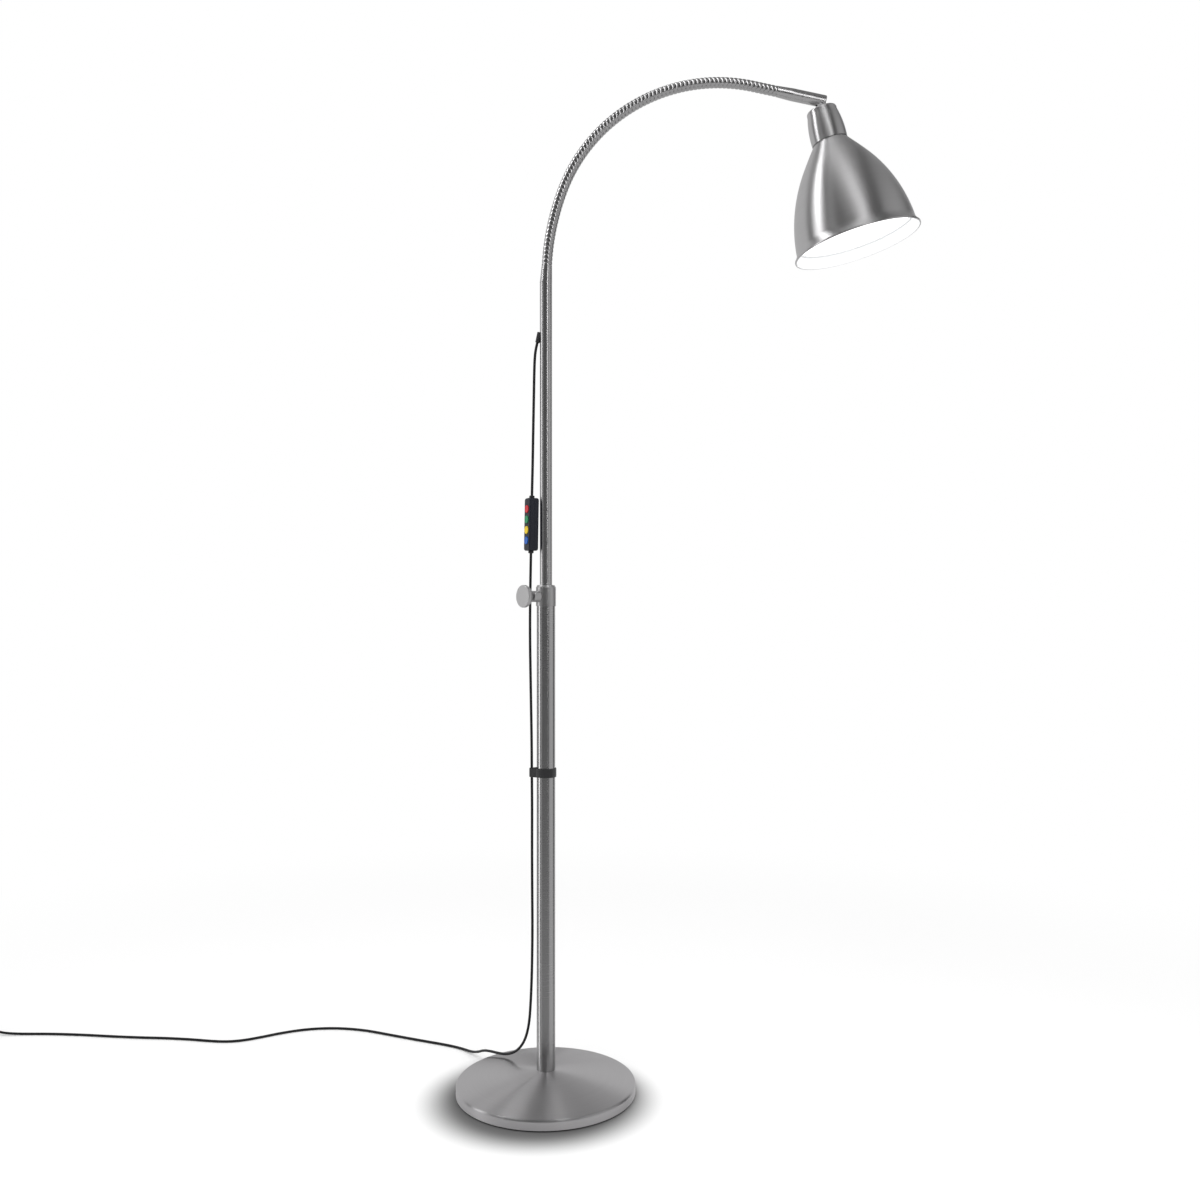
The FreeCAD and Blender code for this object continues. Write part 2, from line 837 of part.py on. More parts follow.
def make_head_arm():
    """Upper ferrule, head tube with its ears, end cap, and the tilting screw."""
    start = dim.ferrule_length.value + neck_length()
    spigot = dim.neck_bore - dim.spigot_fit
    way = dim.lead_radius + dim.ball_gap * 2
    length = dim.arm_ferrule_length
    outer = dim.arm_tube_radius
    bore = outer - dim.arm_tube_wall
    ferrule("upper_ferrule", [
        (way, 0),
        (spigot, 0),
        (spigot, dim.spigot_length),
        (dim.rib_radius, dim.spigot_length),
        (outer, dim.spigot_length + dim.arm_ferrule_taper),
        (outer, dim.spigot_length + length),
        (bore - dim.spigot_fit, dim.spigot_length + length),
        (bore - dim.spigot_fit, dim.spigot_length * 2 + length),
        (way, dim.spigot_length * 2 + length),
    ], start - dim.spigot_length.value)

    frame = arm_frame(start + length.value)
    tube = turned("head_tube_turned", [
        (bore, 0),
        (outer, 0),
        (outer, dim.arm_tube_length),
        (bore, dim.arm_tube_length),
    ])
    tube.Placement = frame
    pivot = pivot_point()
    across = Rotation(Vector(0, 0, 1), Vector(0, 1, 0))
    gap = dim.tongue_thickness + dim.tongue_gap * 2
    span = gap + dim.ear_thickness * 2
    ears = cylinder("ear_rounds", dim.ear_radius, span,
                    Placement(pivot - Vector(0, span.value / 2, 0), across))
    root = block("ear_root", dim.pivot_drop, span, dim.ear_radius * 2)
    root.Placement = frame.multiply(at(
        0, -span / 2, dim.arm_tube_length - dim.pivot_back - dim.ear_radius))
    sweep = dim.ear_radius + dim.tongue_sweep
    slot = cylinder("tongue_slot", sweep, gap,
                    Placement(pivot - Vector(0, gap.value / 2, 0), across))
    drill = cylinder("pivot_drill", dim.pivot_radius + dim.pivot_fit, span * 2,
                     Placement(pivot - Vector(0, span.value, 0), across))
    wire_way = cylinder("ear_wire_way", bore, dim.arm_tube_length, frame)
    spot = dim.pivot_head_radius + dim.spigot_fit
    spots = []
    for side, name in ((-1, "near_spot_face"), (1, "far_spot_face")):
        start = span.value / 2 if side > 0 else -span.value / 2 - outer.value
        spots.append(cylinder(name, spot, outer,
                              Placement(pivot + Vector(0, start, 0), across)))
    blank = joined("head_tube_blank", [tube, without("ears_hollowed", joined(
        "ears", [ears, root]), wire_way)])
    keep(without("head_tube_slotted", blank, joined("head_tube_cuts",
                                                 [slot, drill, *spots])),
         "head_tube")

    plug = dim.arm_cap_length
    cap_top = plug + dim.arm_cap_dome
    edge = dim.arm_cap_edge
    cap = turned("end_cap_turned", [
        (0, 0),
        (bore - dim.spigot_fit, 0),
        (bore - dim.spigot_fit, plug),
        (outer, plug),
        (outer, cap_top - edge),
        (outer - edge, cap_top),
        (0, cap_top),
    ])
    cap.Placement = arm_frame(tube_end() - plug.value)
    cap_slot = cylinder("cap_slot", sweep, gap,
                        Placement(pivot - Vector(0, gap.value / 2, 0), across))
    screw_room = cylinder("cap_screw_room", spot, outer * 2,
                          Placement(pivot - Vector(0, outer.value, 0), across))
    keep(without("end_cap_slotted", cap, joined("cap_cuts", [cap_slot, screw_room])),
         "head_end_cap")

    head = dim.pivot_head_height
    screw = turned("pivot_screw_turned", [
        (0, 0),
        (dim.pivot_head_radius, 0),
        (dim.pivot_head_radius, head),
        (dim.pivot_radius, head),
        (dim.pivot_radius, head + span),
        (dim.pivot_head_radius, head + span),
        (dim.pivot_head_radius, head * 2 + span),
        (0, head * 2 + span),
    ])
    keep(screw, "pivot_screw",
         Placement(pivot - Vector(0, span.value / 2 + head.value, 0), across))


# ---------------------------------------------------------------- head
def head_frame(height=0.0):
    """Place on the head's axis at a height above the shade's mouth, own Z towards the arm."""
    turn = Rotation(Vector(0, 1, 0), -dim.head_lean.value)
    up = turn.multVec(Vector(0, 0, 1))
    mouth = pivot_point() - up * (dim.head_depth + dim.pivot_to_cap).value
    return Placement(mouth + up * float(height), turn)


def make_head():
    """Stem, cap, shade, and the light module with its diffuser."""
    top = dim.head_depth
    wall = dim.sheet
    neck_top = top - dim.cap_length

    cap_top = dim.cap_top_radius
    cap_foot = dim.cap_foot_radius
    stem_hole = dim.stem_radius + dim.screw_fit
    cap = turned("cap_turned", [
        (cap_foot, neck_top),
        (cap_top, top, dim.cap_side_bend, 1),
        (stem_hole, top),
        (stem_hole, top - wall),
        (cap_top - wall, top - wall),
        (cap_foot - wall, neck_top, dim.cap_side_bend - wall, -1),
    ])
    round_edges(cap, dim.cap_top_round, [(cap_top, top)])
    keep(cap, "socket_cap", head_frame())

    neck = dim.shade_neck_radius
    shoulder = dim.shade_shoulder_radius
    shoulder_at = top - dim.shade_shoulder_depth
    skirt = dim.shade_skirt_radius
    skirt_at = top - dim.shade_skirt_depth
    lip = dim.shade_lip_radius
    shoulder_bend = dim.shade_shoulder_bend
    skirt_bend = dim.shade_skirt_bend
    bead = dim.bead_radius
    bell = turned("shade_turned", [
        (neck - wall, neck_top + dim.neck_collar),
        (neck - wall, neck_top),
        (shoulder - wall, shoulder_at, shoulder_bend - wall, -1),
        (skirt - wall, skirt_at, skirt_bend - wall, -1),
        (lip - wall, bead),
        (lip - wall, 0),
        (lip + bead, 0),
        (lip + bead, bead * 2),
        (lip, bead * 2),
        (skirt, skirt_at + wall),
        (shoulder, shoulder_at, skirt_bend, 1),
        (neck, neck_top, shoulder_bend, 1),
        (neck, neck_top + dim.neck_collar),
    ])
    keep(bell, "shade", head_frame())

    tongue = dim.tongue_thickness
    across = Rotation(Vector(0, 0, 1), Vector(0, 1, 0))
    pivot = pivot_point()
    eye = cylinder("tongue_eye", dim.ear_radius, tongue,
                   Placement(pivot - Vector(0, tongue.value / 2, 0), across))
    strap = block("tongue_strap", dim.tongue_width, tongue, dim.pivot_to_cap)
    strap.Placement = head_frame(top).multiply(at(-dim.tongue_width / 2, -tongue / 2))
    post = cylinder("stem_post", dim.stem_radius, dim.stem_nut_height + wall,
                    head_frame(top - wall - dim.stem_nut_height))
    stem_foot = cylinder("stem_foot", dim.stem_radius + dim.stem_foot_rim,
                         dim.stem_foot_height, head_frame(top))
    bore = cylinder("tongue_bore", dim.pivot_radius + dim.pivot_fit, tongue * 2,
                    Placement(pivot - Vector(0, tongue.value, 0), across))
    keep(without("stem_bored", joined("stem_blank", [eye, strap, post, stem_foot]), bore),
         "head_stem")

    nut = turned("stem_nut_turned", [
        (stem_hole, 0),
        (dim.stem_nut_radius, 0),
        (dim.stem_nut_radius, dim.stem_nut_height),
        (stem_hole, dim.stem_nut_height),
    ])
    keep(nut, "stem_nut", head_frame(top - wall - dim.stem_nut_height))

    sink = dim.sink_plate
    fin_root = dim.sink_core_radius / 2
    fin_reach = dim.sink_radius - fin_root - dim.sink_fin_inset
    plate = cylinder("sink_plate_disc", dim.sink_radius, sink, head_frame(neck_top - sink))
    core = cylinder("sink_core", dim.sink_core_radius, dim.sink_height,
                    head_frame(neck_top))
    fins = [plate, core]
    count = int(dim.sink_fins.value)
    for number in range(count):
        fin = block(f"sink_fin_{number}", fin_reach, dim.sink_fin_thickness, dim.sink_height)
        turn = Rotation(Vector(0, 0, 1), 360.0 * number / count)
        shift = at(fin_root, -dim.sink_fin_thickness / 2)
        fin.Placement = head_frame(neck_top).multiply(
            Placement(Vector(), turn)).multiply(shift)
        fins.append(fin)
    keep(joined("sink_joined", fins), "heat_sink")

    board_at = neck_top - sink - dim.board_thickness
    keep(cylinder("board_disc", dim.board_radius, dim.board_thickness), "led_board",
         head_frame(board_at))
    chips = []
    for number in range(int(dim.chip_count.value)):
        chip = block(f"chip_{number}", dim.chip_size, dim.chip_size, dim.chip_height)
        turn = Rotation(Vector(0, 0, 1), 360.0 * number / dim.chip_count.value)
        shift = at(dim.chip_circle - dim.chip_size / 2, -dim.chip_size / 2)
        chip.Placement = head_frame(board_at - dim.chip_height).multiply(
            Placement(Vector(), turn)).multiply(shift)
        chips.append(chip)
    keep(joined("chips_joined", chips), "led_chips")
    screws = []
    for number in range(int(dim.board_screw_count.value)):
        turn = Rotation(Vector(0, 0, 1), 360.0 * (number + 0.5) / dim.board_screw_count.value)
        place = head_frame(board_at - dim.screw_head_height).multiply(
            Placement(Vector(), turn)).multiply(at(dim.board_screw_circle))
        screws.append(cylinder(f"board_screw_{number}", dim.screw_head_radius,
                               dim.screw_head_height, place))
    keep(joined("screws_joined", screws), "board_screws")

    disc_at = top - dim.diffuser_depth
    room = as_size(shade_inner_radius(disc_at.value))
    disc = turned("diffuser_turned", [
        (0, 0),
        (room - dim.diffuser_gap, 0),
        (room - dim.diffuser_gap, dim.diffuser_thickness * 0.5),
        (room - dim.diffuser_gap * 3, dim.diffuser_thickness),
        (0, dim.diffuser_thickness),
    ])
    keep(disc, "led_diffuser", head_frame(disc_at))
    ring = turned("ring_turned", [
        (room - dim.ring_width, 0),
        (room, 0),
        (room, dim.ring_height),
        (room - dim.ring_width, dim.ring_height),
    ])
    keep(ring, "diffuser_ring", head_frame(disc_at - dim.ring_height))


def shade_inner_radius(height):
    """Inner radius of the shade's skirt at a height above its mouth."""
    skirt = Vector(dim.shade_skirt_radius.value, (dim.head_depth - dim.shade_skirt_depth).value, 0)
    shoulder = Vector(dim.shade_shoulder_radius.value,
                      (dim.head_depth - dim.shade_shoulder_depth).value, 0)
    bend = dim.shade_skirt_bend.value
    chord = shoulder - skirt
    reach = math.sqrt(bend ** 2 - chord.Length ** 2 / 4)
    centre = (skirt + shoulder) / 2 + Vector(-chord.y, chord.x, 0).normalize() * reach
    inner = bend - dim.sheet.value
    return centre.x + math.sqrt(inner ** 2 - (height - centre.y) ** 2)


# ---------------------------------------------------------------- inline switch
def switch_frame(across=0.0, deep=0.0, up=0.0):
    """Place in the switch's frame: X across its face, -Y out of the face, Z up its length."""
    foot = Placement(
        Vector(dim.switch_offset.value, 0, dim.switch_floor.value),
        Rotation(Vector(0, 1, 0), dim.switch_lean.value).multiply(
            Rotation(Vector(0, 0, 1), dim.switch_turn.value)))
    return foot.multiply(at(across, deep, up))


def round_box(body, radius, chosen=lambda edge: True):
    """Rounds the chosen edges of a padded block."""
    base = body.Tip
    wanted = []
    for number, edge in enumerate(base.Shape.Edges, start=1):
        if chosen(edge):
            wanted.append(f"Edge{number}")
    fillet = body.newObject("PartDesign::Fillet", body.Name + f"_round{len(body.Group)}")
    fillet.Base = (base, wanted)
    bind(fillet, Radius=radius)
    doc.recompute()


def case_half(name, reverse):
    """One half of the switch's case: a rounded tray, open at the parting plane."""
    half = dim.switch_width / 2
    tall = dim.switch_length
    outline = [(half, 0), (half, tall), (-half, tall), (-half, 0)]
    body = padded(name, "XZ_Plane", outline, dim.switch_half, reverse)
    side = 1 if reverse else -1
    round_box(body, dim.switch_corner, lambda edge: abs(
        edge.Vertexes[0].Y - edge.Vertexes[-1].Y) > 1e-6)
    far = side * dim.switch_half.value
    round_box(body, dim.switch_edge, lambda edge: all(
        abs(v.Y - far) < 1e-6 for v in edge.Vertexes))
    wall = dim.switch_wall
    end = dim.switch_end_wall
    sketch = body.newObject("Sketcher::SketchObject", name + "_well_outline")
    attach(sketch, body, "XZ_Plane")
    draw_outline(sketch, [
        (half - wall, end), (half - wall, tall - end),
        (wall - half, tall - end), (wall - half, end)])
    well = body.newObject("PartDesign::Pocket", name + "_well")
    well.Profile = sketch
    well.Reversed = not reverse
    bind(well, Length=dim.switch_half - wall)
    doc.recompute()
    return body


def button_height(number):
    """Height of a button's centre above the switch's foot, from the lowest."""
    middle = dim.switch_length / 2 - dim.button_row_drop
    return middle + dim.button_pitch * (number - (dim.button_count.value - 1) / 2)


def make_switch():
    """Two case halves, circuit board, four sprung buttons, screws and cord cuffs."""
    front = case_half("front_case", False)
    sketch = front.newObject("Sketcher::SketchObject", "button_hole_outline")
    attach(sketch, front, "XZ_Plane")
    ring = sketch.addGeometry(Part.Circle(
        Vector(0, button_height(0).value, 0), Vector(0, 0, 1), 1), False)
    sketch.addConstraint(Sketcher.Constraint("PointOnObject", ring, 3, -2))
    rise = Sketcher.Constraint("DistanceY", -1, 1, ring, 3, button_height(0).value)
    sketch.setExpression(f"Constraints[{sketch.addConstraint(rise)}]", button_height(0).text)
    wide = Sketcher.Constraint("Radius", ring, 1)
    sketch.setExpression(f"Constraints[{sketch.addConstraint(wide)}]",
                         (dim.button_radius + dim.button_gap).text)
    holes = front.newObject("PartDesign::Pocket", "button_holes")
    holes.Profile = sketch
    holes.Reversed = True
    bind(holes, Length=dim.switch_half * 2)
    doc.recompute()
    row = front.newObject("PartDesign::LinearPattern", "button_hole_row")
    row.Originals = [holes]
    row.Direction = (sketch, ["V_Axis"])
    row.Occurrences = int(dim.button_count.value)
    bind(row, Length=dim.button_pitch * (dim.button_count - 1),
         Occurrences=dim.button_count)
    front.Tip = row
    doc.recompute()
    keep(front, "switch_front_case", switch_frame())
    keep(case_half("back_case", True), "switch_back_case", switch_frame())

    radius = dim.button_radius
    floor = dim.switch_half - dim.switch_wall - dim.button_gap - dim.button_flange_thickness
    flange = radius + dim.button_flange
    cap = dim.switch_half + dim.button_proud - floor
    out = Rotation(Vector(0, 0, 1), Vector(0, -1, 0))
    colours = ("blue", "yellow", "green", "red")
    for number in range(int(dim.button_count.value)):
        colour = colours[number % len(colours)]
        button = turned(f"key_{colour}_{number}", [
            (0, 0),
            (flange, 0),
            (flange, dim.button_flange_thickness),
            (radius, dim.button_flange_thickness),
            (radius, cap - dim.button_edge),
            (radius - dim.button_edge, cap),
            (0, cap - dim.button_dish),
        ])
        frame = switch_frame(0, -floor, button_height(number)).multiply(
            Placement(Vector(), out))
        keep(button, f"button_{colour}", frame)

    board_width = dim.switch_width - (dim.switch_wall + dim.switch_board_gap) * 2
    board_foot = dim.switch_end_wall + dim.switch_board_gap
    slab = block("slab", board_width, dim.board_slab, dim.switch_length - board_foot * 2,
                 switch_frame(-board_width / 2, 0, board_foot))
    domes = [slab]
    dome_height_room = floor - dim.button_travel - dim.screw_fit
    for number in range(int(dim.button_count.value)):
        frame = switch_frame(0, 0, button_height(number)).multiply(Placement(Vector(), out))
        domes.append(cylinder(f"dome_{number}", dim.dome_radius, dome_height_room, frame))
    keep(joined("board_joined", domes), "switch_board")

    cuffs = []
    for number, height in enumerate((-dim.cuff_length, dim.switch_length)):
        cuff = cylinder(f"cuff_{number}", dim.cuff_radius, dim.cuff_length,
                        switch_frame(0, 0, height))
        cuffs.append(cuff)
    keep(joined("cuffs_joined", cuffs), "switch_cuffs")
    screws = []
    inset = dim.case_screw_inset
    proud = dim.case_screw_height
    for number, height in enumerate((inset, dim.switch_length - inset)):
        frame = switch_frame(0, dim.switch_half + proud, height).multiply(
            Placement(Vector(), out))
        screws.append(cylinder(f"case_screw_{number}", dim.case_screw_radius, proud, frame))
    keep(joined("case_screws_joined", screws), "switch_screws")


# ---------------------------------------------------------------- cords
CORD_ARC_SHARE = 0.45
UPPER_ROUTE = [
    (-14.3, 0, 995), (-15.6, 0.4, 974), (-16.3, 1.0, 934), (-17.2, 0.6, 884),
    (-17.9, 0.1, 838), (-18.5, -0.1, 815)]
LOWER_ROUTE = [
    (-20.5, 0.2, 704), (-21.2, 1.2, 668), (-21.6, 1.6, 615), (-20.8, 1.0, 562),
    (-19.9, 0.4, 512), (-19.2, 0.1, 470), (-19.0, 0, 429), (-18.6, 0.2, 380),
    (-18.8, 0.8, 326), (-18.5, 0.6, 270), (-18.1, 0.3, 216), (-18.8, 0.6, 164),
    (-20.4, 2.5, 122), (-23.0, 8.5, 88), (-29.5, 21, 61), (-41, 37, 41), (-56, 54, 29.5),
    (-70, 69, 25.5), (-82.5, 82.5, 23.2), (-93.5, 96.5, 19), (-103, 112.5, 10.5),
    (-114.5, 131, 3.4), (-130, 147.5, 1.9), (-154, 161.5, 1.9), (-200, 181, 1.9),
    (-244, 201, 1.9), (-289, 222, 1.9), (-334, 231, 1.9), (-376, 227, 1.9),
    (-411, 212, 1.9), (-438, 194, 1.9), (-462, 180, 1.9), (-485, 174.5, 1.9),
    (-510, 177, 1.9), (-538, 183, 1.9), (-577, 188.5, 1.9), (-618, 191, 1.9),
    (-664, 195.5, 1.9), (-714, 202.5, 1.9), (-766, 206.5, 1.9), (-810, 206, 1.9),
    (-836, 205.2, 3.4), (-853, 204.8, 8.5), (-866, 204.6, 12.6), (-879, 204.5, 14.6),
    (-892, 204.5, 15)]


def cord_tube(label, points):
    """Round cord: straight runs joined by arcs as large as their two runs allow."""
    points = [Vector(*p) for p in points]
    runs = [(b - a).Length for a, b in zip(points, points[1:])]
    edges, start, radii = [], points[0], []
    for number in range(1, len(points) - 1):
        before = (points[number] - points[number - 1]).normalize()
        after = (points[number + 1] - points[number]).normalize()
        turn = before.getAngle(after)
        cut = CORD_ARC_SHARE * min(runs[number - 1], runs[number])
        radii.append(cut / math.tan(turn / 2))
        enter = points[number] - before * cut
        leave = points[number] + after * cut
        middle = points[number] + (after - before).normalize() * (
            radii[-1] * (1 / math.cos(turn / 2) - 1))
        edges.append(Part.LineSegment(start, enter).toShape())
        edges.append(Part.Arc(enter, middle, leave).toShape())
        start = leave
    edges.append(Part.LineSegment(start, points[-1]).toShape())
    path = Part.Wire(edges)
    ring = Part.Circle(points[0], points[1] - points[0], dim.cord_radius.value)
    profile = Part.Wire([ring.toShape()])
    tube = path.makePipeShell([profile], True, True)
    expected = math.pi * dim.cord_radius.value ** 2 * path.Length
    print(f"{label}: length {path.Length:.1f}, volume ratio {tube.Volume / expected:.4f}, "
          f"runs {min(runs):.0f} to {max(runs):.0f}, tightest arc {min(radii):.1f}")
    feature(label, tube)


def cuff_end(low):
    """Centre of a cord cuff's outer face."""
    height = -dim.cuff_length if low else dim.switch_length + dim.cuff_length
    return switch_frame(0, 0, height).Base


def make_cords():
    """The hanging cord above the switch, and the long one below it to the adapter."""
    root, out = grommet_axis()
    leave = root + out * dim.grommet_length.value
    cord_tube("cord_upper", [leave, *UPPER_ROUTE, cuff_end(False)])
    cord_tube("cord_lower", [cuff_end(True), *LOWER_ROUTE])


def make_strap_and_adapter():
    """Hook-and-loop strap round the mast and cord, and the plug-in adapter."""
    reach = dim.strap_cord_reach.value
    small = (dim.cord_radius + dim.strap_cord_room).value
    large = (dim.lower_tube_radius + dim.strap_tube_room).value

    def loop(extra):
        """Belt round the mast's circle and the cord's circle."""
        big, little = large + extra, small + extra
        tilt = math.asin((big - little) / reach)
        lean = Vector(-math.sin(tilt), math.cos(tilt), 0)
        mirror = Vector(lean.x, -lean.y, 0)
        hub = Vector(-reach, 0, 0)
        return Part.Wire([
            Part.Arc(lean * big, Vector(big, 0, 0), mirror * big).toShape(),
            Part.LineSegment(mirror * big, hub + mirror * little).toShape(),
            Part.Arc(hub + mirror * little, hub - Vector(little, 0, 0),
                     hub + lean * little).toShape(),
            Part.LineSegment(hub + lean * little, lean * big).toShape(),
        ])

    face = Part.Face([loop(dim.strap_thickness.value)]).cut(Part.Face([loop(0)]))
    strap = face.extrude(Vector(0, 0, dim.strap_width.value))
    strap.Placement = at(z=dim.strap_floor)
    feature("cord_strap", strap)

    entry = Vector(*LOWER_ROUTE[-1])
    relief = doc.addObject("Part::Cone", "relief_cone")
    bind(relief, Radius1=dim.cord_radius + dim.relief_wall, Radius2=dim.relief_radius,
         Height=dim.relief_length)
    keep(relief, "adapter_relief", pointing(Vector(-1, 0, 0), entry))
    end = entry - Vector(dim.relief_length.value, 0, 0)
    half = dim.adapter_width / 2
    long = dim.adapter_length
    case = padded("adapter_block", "XY_Plane", [
        (long, -half), (long, half), (0, half), (0, -half)], dim.adapter_height)
    round_box(case, dim.adapter_round)
    keep(case, "adapter_case", Placement(
        end - Vector(long.value, 0, dim.adapter_height.value / 2), Rotation()))
    pins = []
    for side in (-0.5, 0.5):
        shift = Vector(-long.value, side * dim.pin_spacing.value, 0)
        pins.append(cylinder(f"pin_{len(pins)}", dim.pin_radius, dim.pin_length,
                             pointing(Vector(-1, 0, 0), end + shift)))
    keep(joined("pins_joined", pins), "adapter_pins")


make_base()
make_clamp()
make_upper_mast()
make_gooseneck()
make_head_arm()
make_head()
make_switch()
make_cords()
make_strap_and_adapter()
doc.recompute()

faults = [thing.Label for thing in doc.Objects
          if "Invalid" in thing.State or "Error" in thing.State]
for label, thing in labels.items():
    if thing.Shape.isNull() or not thing.Shape.isValid() or not thing.Shape.Solids:
        faults.append(label + " shape")
if faults:
    raise RuntimeError("faulty: " + ", ".join(faults))
for label, thing in labels.items():
    thing.Shape.exportStep(f"parts/{label}.step")
print(len(labels), "pieces written")
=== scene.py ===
"""Gooseneck reading lamp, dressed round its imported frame. Metres, +Z up, arm towards +X."""
import json
import math

import bmesh
import bpy
import numpy as np
from mathutils import Matrix, Vector

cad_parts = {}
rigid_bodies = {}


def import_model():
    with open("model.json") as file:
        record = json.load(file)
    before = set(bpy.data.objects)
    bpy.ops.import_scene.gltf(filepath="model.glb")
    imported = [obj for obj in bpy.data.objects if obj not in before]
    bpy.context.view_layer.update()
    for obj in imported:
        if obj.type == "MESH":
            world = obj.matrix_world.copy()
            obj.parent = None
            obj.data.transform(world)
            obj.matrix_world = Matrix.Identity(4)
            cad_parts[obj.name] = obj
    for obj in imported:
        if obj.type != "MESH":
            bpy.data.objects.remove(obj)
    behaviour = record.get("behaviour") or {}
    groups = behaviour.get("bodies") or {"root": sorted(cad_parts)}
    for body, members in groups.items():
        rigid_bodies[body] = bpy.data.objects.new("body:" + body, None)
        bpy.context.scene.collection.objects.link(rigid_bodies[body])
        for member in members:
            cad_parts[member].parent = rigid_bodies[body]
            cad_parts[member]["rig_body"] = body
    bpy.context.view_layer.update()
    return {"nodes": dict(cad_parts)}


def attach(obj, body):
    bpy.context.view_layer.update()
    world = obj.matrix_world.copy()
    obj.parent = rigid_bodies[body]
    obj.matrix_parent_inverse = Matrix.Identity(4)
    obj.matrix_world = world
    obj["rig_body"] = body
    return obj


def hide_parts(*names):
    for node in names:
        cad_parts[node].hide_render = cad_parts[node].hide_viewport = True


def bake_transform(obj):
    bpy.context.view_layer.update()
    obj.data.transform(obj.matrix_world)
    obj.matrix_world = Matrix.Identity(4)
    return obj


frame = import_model()
nodes = frame["nodes"]

# ---------------------------------------------------------------- studio
# A white sweep under a soft overhead light, with a painted shadow darkening its colour round the
# base. Tall strip lights and dark flags stand round the object at fixed bearings, and only polished
# metal sees them.
CAMERA_PLACE = (0.0725, -1.520, 0.640)
SENSOR_WIDTH = 36.0
PHOTO_WIDTH = 1200
FOCAL_PIXELS = 1133
HORIZON_PIXEL = 615
SKY_LEVEL = 0.90
STUDIO_PEAK = 1.7
# bearing in degrees from the camera's side of the object, positive towards +X, and brightness
STUDIO_BANDS = (
    (-180, 0.62), (-116, 0.68), (-108, 0.16), (-99, 0.16), (-94, 1.70), (-81, 1.70), (-75, 0.07),
    (-66, 0.08), (-61, 0.34), (-54, 0.34), (-47, 0.09), (38, 0.08), (46, 0.42), (74, 0.50),
    (102, 0.42), (109, 0.07), (127, 0.09), (136, 0.68), (180, 0.62),
)
CEILING_LEVEL = 0.20
CEILING_FROM = (0.55, 0.90)
FLOOR_GLOW = 0.52
FLOOR_FROM = (-0.30, -0.42)
# strip lights that only polished metal sees: place, way it faces, width, height and radiance
STRIPS = (
    ("right_strip", (0.38, -0.62, 1.55), (0.1, 0, 0.6), 0.13, 2.4, 2.6),
    ("left_strip", (-0.95, -0.05, 2.15), (0.1, 0, 0.4), 0.22, 0.8, 7.0),
)
FLOOR_SIZE = 5.0
FLOOR_WHITE = 0.97
FLOOR_FADE = (0.75, 1.7)
# painted shadow in the floor's colour: its centre, the radii over which it fades out, and its dark tone
SHADOW_PLACE = (-0.008, -0.020)
SHADOW_REACH = (0.105, 0.172)
SHADOW_TONE = 0.16

scene = bpy.context.scene
scene.view_settings.view_transform = "Standard"

camera_data = bpy.data.cameras.new("camera")
camera_data.sensor_width = SENSOR_WIDTH
camera_data.lens = SENSOR_WIDTH * FOCAL_PIXELS / PHOTO_WIDTH
camera_data.shift_y = HORIZON_PIXEL / PHOTO_WIDTH - 0.5
camera = bpy.data.objects.new("camera", camera_data)
camera.location = CAMERA_PLACE
camera.rotation_euler = (math.pi / 2, 0, 0)
scene.collection.objects.link(camera)
scene.camera = camera


class Flow:
    """A socket in a node tree. Arithmetic on a value adds Math nodes."""

    def __init__(self, tree, socket=None):
        self.tree = tree
        self.socket = socket

    def add(self, kind, settings=None, inputs=None, out=0):
        """New node: its settings, ramp stops among them, then values or links of its sockets."""
        node = self.tree.nodes.new(kind)
        for name, value in (settings or {}).items():
            if name == "stops":
                ramp = node.color_ramp.elements
                ramp.remove(ramp[-1])
                for number, (place, level) in enumerate(value):
                    stop = ramp[0] if number == 0 else ramp.new(place)
                    stop.position = place
                    stop.color = (level, level, level, 1)
            else:
                setattr(node, name, value)
        for name, value in (inputs or {}).items():
            if isinstance(value, Flow):
                self.tree.links.new(value.socket, node.inputs[name])
            else:
                node.inputs[name].default_value = value
        return Flow(self.tree, node.outputs[out] if node.outputs else None)

    def math(self, operation, other=0.0, third=0.0):
        return self.add("ShaderNodeMath", {"operation": operation}, {0: self, 1: other, 2: third})

    def __add__(self, other):
        return self.math("ADD", other)

    def __sub__(self, other):
        return self.math("SUBTRACT", other)

    def __rsub__(self, other):
        return self.add("ShaderNodeMath", {"operation": "SUBTRACT"}, {0: other, 1: self})

    def __mul__(self, other):
        return self.math("MULTIPLY", other)

    def __truediv__(self, other):
        return self.math("DIVIDE", other)

    __radd__ = __add__
    __rmul__ = __mul__

    def eased(self, low, high):
        """0 below low, 1 above high, and a smooth step between them."""
        return self.add("ShaderNodeMapRange", {"interpolation_type": "SMOOTHSTEP"},
                        {"Value": self, "From Min": low, "From Max": high})

    def parts(self):
        """The X, Y and Z of a vector as three values."""
        split = self.add("ShaderNodeSeparateXYZ", inputs={0: self})
        return [Flow(self.tree, socket) for socket in split.socket.node.outputs]

    def vector(self, operation, other, out=0):
        return self.add("ShaderNodeVectorMath", {"operation": operation}, {0: self, 1: other}, out)

    def noise(self, detail=2.0, scale=1.0):
        """Cloudy value from 0 to 1 on a vector."""
        return self.add("ShaderNodeTexNoise",
                        inputs={"Vector": self, "Scale": scale, "Detail": detail})


def combined(tree, x, y, z):
    """Vector from three values."""
    return Flow(tree).add("ShaderNodeCombineXYZ", inputs={0: x, 1: y, 2: z})


def mix_colours(factor, first, second):
    """Mix node of two colours, each a socket or (r, g, b, 1)."""
    return factor.add("ShaderNodeMix", {"data_type": "RGBA"}, {0: factor, 6: first, 7: second}, 2)


